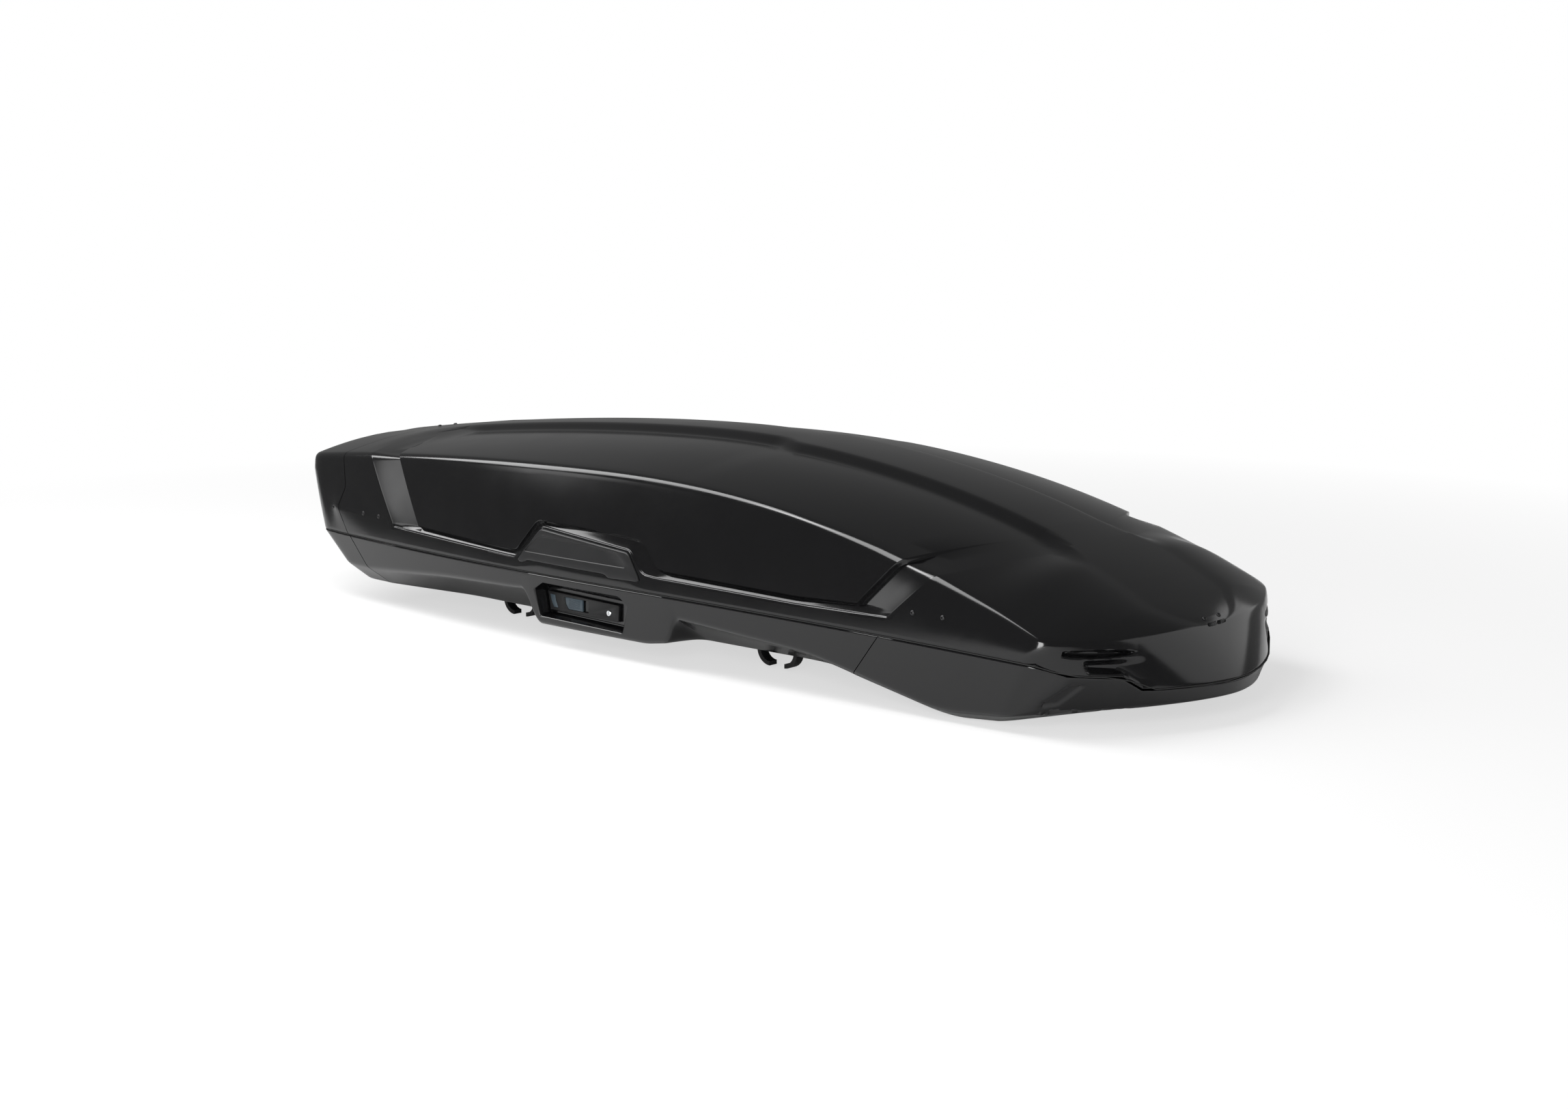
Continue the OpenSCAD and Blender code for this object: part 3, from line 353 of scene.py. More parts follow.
def side_point(u, t):
    """A point on the right side wall or, past u = 8, on the nose; t runs from seam to crest."""
    if u > 8:
        f = max(1 - (u - 8), 0.012)
        a = np.array([float(c) for c in nose_seam(f)])
        b = np.array([float(c) for c in nose_crest(f)])
        bulge = SIDE_BULGE * 4 * t * (1 - t)
        p = lerp(a, b, t) + np.array([bulge * math.sqrt(max(0, 1 - f * f)), -bulge * f, 0])
        return p
    xs = np.interp(u, range(9), LID_SEAM)
    xc = np.interp(u, range(9), LID_CREST)
    x = lerp(xs, xc, t)
    z = lerp(float(seam_z(xs)), float(side_crest_z(xc)), t)
    rel = z - float(seam_z(x))
    k = rel / (float(side_crest_z(x)) - float(seam_z(x)))
    y = float(half_w(x)) - LEAN * rel + SIDE_BULGE * 4 * k * (1 - k)
    # The tail's end leans back, then stands upright near its top
    x += np.interp(rel, [0, 134, 172, 240], [0, -11, 0, 0]) * max(0, 1 - u / 0.5)
    # The cap's seam runs in a zigzag
    zigzag = np.interp(rel, [0, 52, 60, 104, 112, 200], [0, -28, -29, 3, 5, 0])
    x += zigzag * math.exp(-(((u - 1) / 0.3) ** 2))
    return np.array([x, tail_cut(u) - y, z])


def top_point(u, a_rel, yc, xc, shift):
    # The stations' lines bend over the panel and run straight across the spine
    x = xc + shift * (1 - np.clip((a_rel - 0.2) / 0.8, 0, 1) ** 1.5)
    full, _ = crest_yz(x)
    z = float(lid_top_z(x, a_rel * float(full)))
    return np.array([x, -a_rel * yc, z - tail_cut(u, 7.0, 0.05)])


def lid_row(u):
    """Points across the right half of the lid, from the rim to the middle, with their groove lines."""
    foot_point = side_point(u, 0.0)
    crest = side_point(u, 1.0)
    height = crest[2] - foot_point[2]
    yc = -crest[1]
    xc = crest[0]
    shift = np.interp(u, range(10), TOP_SHIFT)
    x_low = side_point(u, 30.0 / max(height, 60.0))[0] + 1100.0
    low = min(np.interp(x_low, *GROOVE_LOW) / height, 0.3 if u > 7.5 else 0.9)
    up = min(np.interp(x_low, *GROOVE_UP) / height, 0.5 if u > 7.5 else 0.95)
    points, marks = [], []

    def add(p, mark):
        points.append(p)
        marks.append(mark)

    def curve(a, b, c, count, mark):
        for t in np.linspace(0, 1, count):
            add(bezier(a, b, c, t), mark)

    inner = foot_point + np.array([0, LIP_ROUND, 0])
    curve(inner, foot_point, side_point(u, LIP_ROUND / height), 3, -1.0)
    for k in range(1, 6):
        add(side_point(u, lerp(LIP_ROUND / height, low, k / 6.0)), -1.0)
    width = max((up - low) * height, 8.0)
    for t in STEP_T:
        add(side_point(u, lerp(low, up, float(groove_fraction(t, width)))), t)
    radius = min(CREST_ROUND, 0.12 * height)
    end = 1 - radius / height
    for k in range(17):
        add(side_point(u, lerp(up, end, k / 17.0)), 1.0)
    # Over the crest, with a small radius
    run = min(radius, 0.3 * yc)
    half = min(float(spine_half(xc)), 0.4 * yc)
    foot = min(float(foot_y(xc)), 0.6 * yc)
    a_crest = side_point(u, end)
    b_crest = top_point(u, 1 - run / yc, yc, xc, shift)
    corner = crest.copy()
    corner[2] -= tail_cut(u, 7.0, 0.05)
    curve(a_crest, corner, b_crest, 7, 1.0)
    r_foot = min(10.0, 0.3 * (yc - foot))
    r_wall = min(7.0, 0.4 * (foot - half))
    r_edge = min(7.0, 0.3 * half)
    for k in range(1, 18):
        add(top_point(u, lerp(yc - run, foot + r_foot, k / 18.0) / yc, yc, xc, shift), 1.0)
    curve(*[top_point(u, a / yc, yc, xc, shift) for a in (foot + r_foot, foot, foot - r_wall)], 5, 1.0)
    a1, a2 = foot - r_wall, half + r_wall
    for k in (0.33, 0.67):
        add(top_point(u, lerp(a1, a2, k) / yc, yc, xc, shift), 2.0)
    curve(*[top_point(u, a / yc, yc, xc, shift) for a in (half + r_wall, half, half - r_edge)], 5, 2.0)
    for k in range(1, 7):
        add(top_point(u, (half - r_edge) * (1 - k / 6.0) / yc, yc, xc, shift), 2.0)
    return np.array(points), np.array(marks)


LID_SIDE_ROWS = 3 + 5 + 10 + 17 + 7
LID_FOOT_ROWS = LID_SIDE_ROWS + 17


def corner_stations(u, before, after, steps=9):
    return [("round", u, before, after, t) for t in np.linspace(0, 1, steps)]


def spread(a, b, count):
    return [("at", u) for u in np.linspace(a, b, count, endpoint=False)]


def band(u_from, u_to, width, rising):
    """Stations across one leg of the groove."""
    lines = STEP_T + [1.0]
    out = []
    for t in lines:
        k = float(groove_fraction(t, width))
        u = lerp(u_from, u_to, k)
        out.append(("band", u, t))
    return out if rising else out[::-1]


def station_row(spec, row):
    if spec[0] == "round":
        _, u, before, after, t = spec
        low, marks = row(u - before)
        mid, _ = row(u)
        high, _ = row(u + after)
        return bezier(low, mid, high, t), marks
    return row(spec[1])


def nose_scoops(f, z):
    """Depth of the slot and the bowl in the lid's nose face, at f and a height over the seam plane."""
    top = np.interp(f, [0.56, 0.624, 0.7, 0.794, 0.9, 0.95, 0.975], [-7, -2, 1, 3.5, 4.5, 4, 0])
    low = np.interp(f, [0.56, 0.62, 0.7, 0.79, 0.88, 0.93, 0.975], [-11, -14, -15.5, -15, -11.5, -7, -2])
    ends = ease((f - 0.55) / 0.07) * ease((0.965 - f) / 0.03)
    slot = 11.0 * ease((top - z) / 5.0) * ease((z - low) / 10.0) * ends
    left = np.interp(z, [-38, -14], [0.811, 0.841])
    seam = np.interp(f, [0, 0.5, 0.575, 0.66, 0.7, 0.88, 1], [80, 76, 74, 50, 48, 41, 21])
    bowl = 15.0 * ease((left - f) / 0.02) * ease((f - 0.5) / 0.22) * ease((-13.0 - z) / 16.0)
    return slot + bowl * ease((z + seam) / 14.0)


def lid_grid(stations):
    """The right half of the lid over these stations, with its groove and the hollows of its nose."""
    rows, bands = [], []
    for spec in stations:
        pts, marks = station_row(spec, lid_row)
        u = spec[1]
        if spec[0] == "band":
            along = spec[2]
        else:
            along = 1.0 if 3 <= u <= 6 else 0.0
        rows.append(pts)
        bands.append((np.full(len(pts), along), marks, u))
    grid = np.array(rows)
    normal = normals_of(grid)
    # The groove is cut along the normal
    for i, (along, marks, u) in enumerate(bands):
        fade = np.ones(len(marks))
        fade[LID_SIDE_ROWS:LID_FOOT_ROWS] = 0.7 * np.linspace(1, 0, LID_FOOT_ROWS - LID_SIDE_ROWS) ** 3
        fade[LID_SIDE_ROWS - 7:LID_SIDE_ROWS] = np.linspace(1, 0.7, 7)
        fade[LID_FOOT_ROWS:] = 0.0
        depth = groove_depth(along, np.clip(marks, 0, 1)) * fade
        grid[i] -= normal[i] * depth[:, None]
        if u > 8 and stations[i][0] == "at":
            f = 1 - (u - 8)
            side = slice(3, LID_SIDE_ROWS)
            scoop = nose_scoops(f, grid[i, side, 2] - SEAM_HEIGHT)
            grid[i, side] -= normal[i, side] * scoop[:, None]
    return grid


def skin_from_grid(name, grid, rear_face=False, nose_strip=False):
    """Mirrors a half grid and joins it into one skin, with its end closed across the width."""
    n, m, _ = grid.shape
    mirror = grid[:, ::-1].copy()
    mirror[..., 1] *= -1
    full = np.concatenate([grid, mirror[:, 1:]], axis=1)
    w = 2 * m - 1
    verts = [tuple(p) for p in full.reshape(-1, 3)]
    faces = [(i * w + j, i * w + j + 1, (i + 1) * w + j + 1, (i + 1) * w + j)
             for i in range(n - 1) for j in range(w - 1)]
    if nose_strip:
        e = (n - 1) * w
        faces += [(e + j, e + j + 1, e + w - 2 - j, e + w - 1 - j) for j in range(m - 2)]
        faces.append((e + m - 2, e + m - 1, e + m))
    if rear_face:
        first = full[0]
        side = LID_SIDE_ROWS if rear_face == "lid" else BASE_SIDE_ROWS
        bow = 6.0 if rear_face == "lid" else 5.0
        cols = list(range(side - 1, w - side + 1))
        crest = first[side - 1]
        start = len(verts)
        for i in range(side):
            p = first[i]
            k = (p[2] - first[0][2]) / (crest[2] - first[0][2])
            for c in cols:
                q = first[c]
                s = q[1] / crest[1]
                x = p[0] + (q[0] - crest[0]) * k - bow * (1 - s * s) * (1 - k)
                z = p[2] + (q[2] - crest[2]) * k
                verts.append((x, p[1] * s, z))
        wide = len(cols)
        faces += [(start + i * wide + j, start + (i + 1) * wide + j, start + (i + 1) * wide + j + 1,
                   start + i * wide + j + 1) for i in range(side - 1) for j in range(wide - 1)]
    return make_object(name, verts, faces, merge=0.02)


# ---------------------------------------------------------------- base surface
BASE_SEAM = [TAIL_SEAM_X, TAIL_X + 232, -579, -300, -270, 55, 120, 145, NOSE_X - 716, NOSE_X - 529,
             NOSE_X - 392, CORNER_X]
BASE_EDGE = [TAIL_X + 182, TAIL_X + 292, -579, -300, -270, 55, 120, 145, NOSE_X - 716, NOSE_X - 596,
             NOSE_X - 410, NOSE_X - 247]
BASE_FLOOR = [TAIL_X + 247, TAIL_X + 354, -579, -300, -270, 55, 120, 145, NOSE_X - 716, NOSE_X - 632,
              NOSE_X - 402, NOSE_X - 292]
EDGE_DROP = [73, 72, 49, 39, 114, 114, 104, 47, 70, 95, 140, 127, 110]
CORNER_DROP = [108, 108, 108, 108, 118, 118, 108, 108, 108, 118, 160, 152, 118]
CORNER_INSET = [24, 30, 85, 95, 45, 45, 75, 95, 90, 62, 42, 45, 60]
FLOOR_DROP = [108, 108, 108, 108, 108, 108, 108, 108, 108, 118, 160, 152, 118]
TIP_X = [LID_TIP_X, LID_TIP_X - 1, NOSE_X - 60]
FLOOR_FLAT_Y = 322.0
RIM_GAP = 3.6
BASE_WALL = 4.5
RIM_ROUND = 4.0
RIM_PROUD = 1.1
EDGE_ROUND = 9.0
BASE_SIDE_ROWS = 5 + 20 + 5 + 9


def base_corners(u):
    """Rim, lower edge, floor corner, floor and middle of the base's right half."""
    beyond = u > 11
    f = max(1 - (u - 11), 0.012) if beyond else 1.0
    bow = f**SEAM_BOW
    step = np.interp(u, range(13), EDGE_DROP)
    cut_in = 0.0 if beyond else tail_cut(u)
    if beyond:
        rim = np.array([float(c) for c in nose_seam(f)]) - [0, 0, RIM_GAP]
    else:
        x = np.interp(u, range(12), BASE_SEAM)
        rim = np.array([x, cut_in - float(half_w(x)) - RIM_PROUD, float(seam_z(x)) - RIM_GAP])
    out = [rim]
    lines = ((BASE_EDGE, EDGE_DROP, None), (BASE_FLOOR, CORNER_DROP, CORNER_INSET),
             (BASE_FLOOR, FLOOR_DROP, CORNER_INSET))
    for k, (xs, drops, ins) in enumerate(lines):
        move = BASE_LEAN * step + (np.interp(u, range(13), ins) if ins else 0.0)
        if beyond:
            x = lerp(TIP_X[min(k + 1, 2)], xs[11], bow)
            y = -(CORNER_Y - move) * f
            z = SEAM_HEIGHT - lerp(drops[12], drops[11], f * f)
        else:
            x = np.interp(u, range(12), xs)
            y = cut_in + move - float(half_w(x))
            z = SEAM_HEIGHT - np.interp(u, range(13), drops)
        if k == 2:
            y = max(y, -FLOOR_FLAT_Y) + (8.0 * f if y > -FLOOR_FLAT_Y else 0.0)
        out.append(np.array([x, y, z]))
    out.append(np.array([out[-1][0], 0.0, out[-1][2]]))
    return out


def base_row(u):
    rim, edge, corner, floor, middle = base_corners(u)
    along = edge - rim
    reach = np.linalg.norm(along)
    points = []
    inner = rim + np.array([0, RIM_ROUND, 0])
    if u > 11:
        f = max(1 - (u - 11), 0.012)
        inner = rim + RIM_ROUND * np.array([-math.sqrt(max(0, 1 - f * f)), f, 0])
    first = rim + along * RIM_ROUND / reach
    for t in np.linspace(0, 1, 5):
        points.append(bezier(inner, rim, first, t))
    r = min(EDGE_ROUND, 0.2 * reach, 0.4 * np.linalg.norm(corner - edge))
    last = edge - along / reach * r
    for k in range(1, 21):
        points.append(lerp(first, last, k / 21.0))
    tuck = corner - edge
    tuck_len = np.linalg.norm(tuck)
    a = edge + tuck / tuck_len * r
    for t in np.linspace(0, 1, 5):
        points.append(bezier(last, edge, a, t))
    flat = floor - corner
    flat_len = max(np.linalg.norm(flat), 1e-6)
    r2 = min(12.0, 0.4 * tuck_len, 0.45 * flat_len)
    b = corner - tuck / tuck_len * r2
    for k in range(1, 5):
        points.append(lerp(a, b, k / 5.0))
    c = corner + flat / flat_len * r2
    for t in np.linspace(0, 1, 5):
        points.append(bezier(b, corner, c, t))
    for k in (0.5, 1.0):
        points.append(lerp(c, floor, k))
    for k in (0.25, 0.5, 0.75, 1.0):
        points.append(lerp(floor, middle, k))
    return np.array(points), np.zeros(len(points))


def poly_depth(points, outline):
    """Distance from inside an outline to its edge; negative outside."""
    p = np.asarray(points, float)
    pts = np.array(outline, float)
    best = np.full(len(p), 1e9)
    inside = np.zeros(len(p), bool)
    for i in range(len(pts)):
        a, b = pts[i], pts[(i + 1) % len(pts)]
        ab = b - a
        k = np.clip(((p - a) @ ab) / (ab @ ab), 0, 1)
        best = np.minimum(best, np.linalg.norm(p - a - k[:, None] * ab, axis=1))
        crosses = (a[1] > p[:, 1]) != (b[1] > p[:, 1])
        with np.errstate(divide="ignore", invalid="ignore"):
            x_at = a[0] + (p[:, 1] - a[1]) * ab[0] / np.where(ab[1] == 0, 1e-9, ab[1])
        inside ^= crosses & (p[:, 0] < x_at)
    return np.where(inside, best, -best)


NOSE_FACET = [(0.859, -60), (0.794, -61), (0.863, -105), (0.951, -114)]
NOSE_SCOOP = [(0.946, -122), (0.864, -112), (0.846, -115), (0.60, -116), (0.531, -117), (0.66, -128),
              (0.874, -130)]


def base_nose_depth(f, z):
    at = np.stack([np.full(len(z), f * CORNER_Y), z], 1)
    facet = poly_depth(at, [(a * CORNER_Y, b) for a, b in NOSE_FACET])
    scoop = poly_depth(at, [(a * CORNER_Y, b) for a, b in NOSE_SCOOP])
    return 3.0 * ease(facet / 5.0) + 9.0 * ease(scoop / 4.5)


def base_grid(stations):
    grid = np.array([station_row(spec, base_row)[0] for spec in stations])
    normal = normals_of(grid)
    for i, spec in enumerate(stations):
        if spec[0] == "at" and spec[1] > 11:
            f = 1 - (spec[1] - 11)
            side = slice(5, 34)
            depth = base_nose_depth(f, grid[i, side, 2] - SEAM_HEIGHT)
            grid[i, side] += normal[i, side] * depth[:, None]
    return grid


# ---------------------------------------------------------------- colours and materials
def linear(hex_colour):
    """An sRGB hex value as linear RGBA."""
    out = []
    for k in (1, 3, 5):
        c = int(hex_colour[k:k + 2], 16) / 255
        out.append(c / 12.92 if c <= 0.04045 else ((c + 0.055) / 1.055) ** 2.4)
    return (*out, 1.0)


def add_node(tree, kind, settings=None, inputs=None, links=None):
    """Adds one node with its settings, its input values and the links into it."""
    node = tree.nodes.new(kind)
    for key, value in (settings or {}).items():
        setattr(node, key, value)
    for key, value in (inputs or {}).items():
        node.inputs[key].default_value = value
    for key, source in (links or {}).items():
        tree.links.new(source, node.inputs[key])
    return node


def finish_material(name, colour, roughness, grain_mm, bump_mm, spread_rough=0.06, metallic=0.0, ior=1.5,
                    mottle=0.12, sheen=0.0):
    """A surface with slight changes of tone and gloss, and a grain of a stated size."""
    made = bpy.data.materials.get(name)
    if made:
        return made
    mat = bpy.data.materials.new(name)
    mat.use_nodes = True
    tree = mat.node_tree
    tree.nodes.clear()
    shader = add_node(tree, "ShaderNodeBsdfPrincipled", inputs={"Metallic": metallic})
    if metallic < 0.5:
        shader.inputs["IOR"].default_value = ior
    if sheen:
        shader.inputs["Sheen Weight"].default_value = sheen
    out = add_node(tree, "ShaderNodeOutputMaterial", links={"Surface": shader.outputs["BSDF"]})
    out.location = (400, 0)
    where = add_node(tree, "ShaderNodeTexCoord").outputs["Object"]
    # Soft clouds of 90 mm change the gloss a little, as on a large formed sheet
    clouds = add_node(tree, "ShaderNodeTexNoise", inputs={"Scale": 1 / 0.09, "Detail": 2.0},
                      links={"Vector": where})
    gloss = add_node(tree, "ShaderNodeMapRange", inputs={
        "From Min": 0.3, "From Max": 0.7, "To Min": roughness - spread_rough / 2,
        "To Max": roughness + spread_rough / 2}, links={"Value": clouds.outputs["Fac"]})
    tree.links.new(gloss.outputs["Result"], shader.inputs["Roughness"])
    base = linear(colour)
    dark = tuple(c * (1 - mottle) for c in base[:3]) + (1,)
    light = tuple(min(1, c * (1 + mottle)) for c in base[:3]) + (1,)
    fine = add_node(tree, "ShaderNodeTexNoise", inputs={"Scale": 1 / (grain_mm * MM), "Detail": 3.0},
                    links={"Vector": where})
    tone = add_node(tree, "ShaderNodeMix", {"data_type": "RGBA"}, {"A": dark, "B": light},
                    {"Factor": fine.outputs["Fac"]})
    tree.links.new(tone.outputs["Result"], shader.inputs["Base Color"])
    bump = add_node(tree, "ShaderNodeBump", inputs={"Strength": 1.0, "Distance": bump_mm * MM},
                    links={"Height": fine.outputs["Fac"]})
    tree.links.new(bump.outputs["Normal"], shader.inputs["Normal"])
    return mat


# Each finish: name, colour, roughness, grain and bump in mm, change of roughness, other settings
FINISHES = {
    # Formed ABS sheet with a gloss cap layer: soft mirror, fine orange peel of about 6 mm
    "shell": ("Glossy black ABS sheet", "", 0.14, 6.0, 0.003, 0.04, {"ior": 1.46}),
    # Moulded ABS with a fine etched texture, so highlights spread
    "satin": ("Satin black moulded ABS", "", 0.42, 0.9, 0.02, 0.06, {"ior": 1.42}),
    # Glass-filled nylon: dull black with a fine grain of about 1 mm
    "housing": ("Dull black moulded nylon", "#101011", 0.5, 1.0, 0.03, 0.08, {"ior": 1.42}),
    # Slate grey acetal of the thumb slider and the status window
    "slate": ("Slate grey acetal", "", 0.4, 0.8, 0.01, 0.05, {"ior": 1.48}),
    # EPDM rubber: black, almost without gloss
    "rubber": ("Black EPDM rubber", "#0b0b0b", 0.72, 1.5, 0.03, 0.08, {}),
    # Cross-linked foam mat: dark grey with closed cells of about 2 mm
    "foam": ("Dark grey foam mat", "#232425", 0.85, 2.0, 0.15, 0.08, {"sheen": 0.2}),
    # Zinc-plated sheet steel, with a faint spangle of 8 mm
    "zinc": ("Zinc-plated steel", "#b4b7bb", 0.38, 8.0, 0.004, 0.12, {"metallic": 1.0}),
    # Chromed brass of the key cylinder and the lifters' rods
    "chrome": ("Bright chrome plating", "#d2d4d6", 0.16, 5.0, 0.001, 0.05, {"metallic": 1.0, "mottle": 0.03}),
    # Baked black paint on the lifter tubes
    "paint": ("Baked black paint", "#131314", 0.33, 1.2, 0.01, 0.05, {}),
    # Moulded nylon in a muted red, so the hand finds it inside the dark box
    "knob": ("Red moulded nylon", "#8c1d18", 0.45, 1.0, 0.02, 0.06, {}),
    # Opal acrylic over the lamp
    "lamp": ("Opal acrylic", "#e2e1da", 0.3, 2.0, 0.002, 0.04, {"mottle": 0.02}),
}


def finish(key):
    """The finish of a named part of the box; three take their colour from the panel."""
    c = bpy.context.scene.cargo_colours
    name, colour, roughness, grain_mm, bump_mm, change, more = FINISHES[key]
    colour = {"shell": c.shell, "satin": c.trim, "slate": c.slider}.get(key, colour)
    return finish_material(name, colour, roughness, grain_mm, bump_mm, change, **more)


def dress(obj, key, angle=30.0):
    """Gives an object one finish, and sharp edges over an angle."""
    obj.data.materials.clear()
    obj.data.materials.append(finish(key))
    shade(obj, angle)


# ---------------------------------------------------------------- geometry nodes for what repeats
def repeat_tree(name, shape_name, material):
    """Repeats a small shape on each point of a mesh, turned to the point's own direction."""
    tree = bpy.data.node_groups.new(name, "GeometryNodeTree")
    face = tree.interface
    face.new_socket("Geometry", in_out="INPUT", socket_type="NodeSocketGeometry")
    face.new_socket("Shape", in_out="INPUT", socket_type="NodeSocketObject")
    face.new_socket("Size", in_out="INPUT", socket_type="NodeSocketFloat")
    face.new_socket("Finish", in_out="INPUT", socket_type="NodeSocketMaterial")
    face.new_socket("Geometry", in_out="OUTPUT", socket_type="NodeSocketGeometry")
    entry = add_node(tree, "NodeGroupInput")
    shape = add_node(tree, "GeometryNodeObjectInfo", links={"Object": entry.outputs["Shape"]})
    way = add_node(tree, "GeometryNodeInputNamedAttribute", {"data_type": "FLOAT_VECTOR"}, {"Name": "facing"})
    turn = add_node(tree, "FunctionNodeAlignRotationToVector", {"axis": "Z"},
                    links={"Vector": way.outputs["Attribute"]})
    put = add_node(tree, "GeometryNodeInstanceOnPoints", links={
        "Points": entry.outputs["Geometry"], "Instance": shape.outputs["Geometry"],
        "Rotation": turn.outputs["Rotation"], "Scale": entry.outputs["Size"]})
    real = add_node(tree, "GeometryNodeRealizeInstances", links={"Geometry": put.outputs["Instances"]})
    paint = add_node(tree, "GeometryNodeSetMaterial", links={
        "Geometry": real.outputs["Geometry"], "Material": entry.outputs["Finish"]})
    add_node(tree, "NodeGroupOutput", links={"Geometry": paint.outputs["Geometry"]})
    return tree


def repeated(name, spots, shape, mat, size=1.0):
    """A plain mesh of one shape repeated at spots, each a (point in mm, direction) pair."""
    mesh = bpy.data.meshes.new(name)
    mesh.from_pydata([tuple(float(c) * MM for c in p) for p, _ in spots], [], [])
    facing = mesh.attributes.new("facing", "FLOAT_VECTOR", "POINT")
    facing.data.foreach_set("vector", [float(c) for _, d in spots for c in d])
    obj = bpy.data.objects.new(name, mesh)
    bpy.context.scene.collection.objects.link(obj)
    tree = repeat_tree(name + " nodes", shape.name, mat)
    modifier = obj.modifiers.new("repeat", "NODES")
    modifier.node_group = tree
    values = {"Shape": shape, "Size": size, "Finish": mat}
    for item in tree.interface.items_tree:
        if item.item_type == "SOCKET" and item.in_out == "INPUT" and item.name in values:
            modifier[item.identifier] = values[item.name]
    apply_modifiers(obj)
    bpy.data.node_groups.remove(tree)
    return obj


def revolved(name, profile, steps=24):
    """A closed turned shape about Z, from (radius, height) points that start and end on the axis."""
    verts, faces = [], []
    n = len(profile)
    for k in range(steps):
        a = 2 * math.pi * k / steps
        verts += [(r * math.cos(a), r * math.sin(a), h) for r, h in profile]
    for k in range(steps):
        j = (k + 1) % steps
        faces += [(k * n + i, j * n + i, j * n + i + 1, k * n + i + 1) for i in range(n - 1)]
    return make_object(name, verts, faces, merge=0.001)


# ---------------------------------------------------------------- properties
class CargoSizes(bpy.types.PropertyGroup):
    shell_wall: bpy.props.FloatProperty(
        name="Shell wall", description="Thickness of the lid and the base", default=0.004, unit="LENGTH")
    trim_height: bpy.props.FloatProperty(
        name="Trim height", description="How far the grip trims stand proud", default=0.0038, unit="LENGTH")
    screw_radius: bpy.props.FloatProperty(
        name="Screw head radius", description="Radius of the domed screw heads", default=0.005, unit="LENGTH")


class CargoColours(bpy.types.PropertyGroup):
    shell: bpy.props.StringProperty(
        name="Shells", description="sRGB colour of the lid and the base", default="#0a0a0b")
    trim: bpy.props.StringProperty(
        name="Trims", description="sRGB colour of the grip trims and screws", default="#121213")
    slider: bpy.props.StringProperty(
        name="Slider", description="sRGB colour of the lock's thumb slider", default="#39454d")
    floor: bpy.props.StringProperty(
        name="Floor", description="sRGB colour of the studio floor", default="#f4f4f4")


# ---------------------------------------------------------------- operators
def thicken(obj, thickness):
    modify(obj, "SOLIDIFY", thickness=thickness, offset=-1.0, use_rim=True)
    apply_modifiers(obj)


def shell_piece(obj, body, node):
    dress(obj, "shell", 32)
    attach(obj, body)
    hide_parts(node)


def face_outwards(obj, probe):
    """Turns a skin's faces so that the one nearest to a probe point looks at it."""
    bm = bmesh.new()
    bm.from_mesh(obj.data)
    bm.faces.ensure_lookup_table()
    near = min(bm.faces, key=lambda f: (f.calc_center_median() - probe).length)
    if near.normal.dot(probe - near.calc_center_median()) < 0:
        bmesh.ops.reverse_faces(bm, faces=bm.faces)
    bm.to_mesh(obj.data)
    bm.free()


# Half the seam between a cap and its shell, as a share of a station
CAP_GAP_U = 0.0075
BASE_GAP_U = 0.006


class CARGO_OT_lid(bpy.types.Operator):
    """Lid shell and its rear cap, with spine, side grooves and the hollows of the nose."""

    bl_idname = "cargo.lid"
    bl_label = "Lid shells"

    def execute(self, context):
        sizes = context.scene.cargo_sizes
        cap = [("at", u) for u in (0, 0.004, 0.01, 0.02, 0.035, 0.05, 0.08, 0.12, 0.17, 0.23, 0.3, 0.4, 0.5,
                                   0.6, 0.7, 0.8, 0.88, 0.94, 1 - CAP_GAP_U)]
        shell = [("at", 1 + CAP_GAP_U)] + spread(1.06, 2, 12) + band(2, 3, 110.0, True)
        shell += spread(3.03, 4, 20) + spread(4, 5, 64) + spread(5, 6, 22)[:-1]
        shell += band(7, 6, 85.0, False) + spread(7.04, 7.92, 16) + corner_stations(8, 0.08, 0.08, 11)
        shell += spread(8.085, 8.985, 130) + [("at", 8.988)]
        grid = lid_grid(cap)
        rear = skin_from_grid("lid_cap_skin", grid, rear_face="lid")
        face_outwards(rear, Vector((-1.1, 0, 1.0)))
        thicken(rear, sizes.shell_wall)
        shell_piece(rear, "lid", "lid_rear_cap")
        grid = lid_grid(shell)
        main = skin_from_grid("lid_skin", grid, nose_strip=True)
        face_outwards(main, Vector((0, 0, 1.0)))
        thicken(main, sizes.shell_wall)
        shell_piece(main, "lid", "lid_shell")
        return {"FINISHED"}


# Outline of the lock recess in the base's side: x and drop below the seam plane
RECESS = [(-239, -19), (-268, -36), (-257, -97), (-6, -101), (18, -39), (-6, -20)]


# Places of the roof-bar clamps, and half the slots in the base that their claws come through
CLAMP_X = (-485.0, 300.0)
CLAMP_Y = 285.0
CLAMP_SLOT_X = 83.0
CLAMP_SLOT_Y = 14.0


def base_side_y(x, z):
    return float(half_w(x)) - BASE_LEAN * (SEAM_HEIGHT - z)


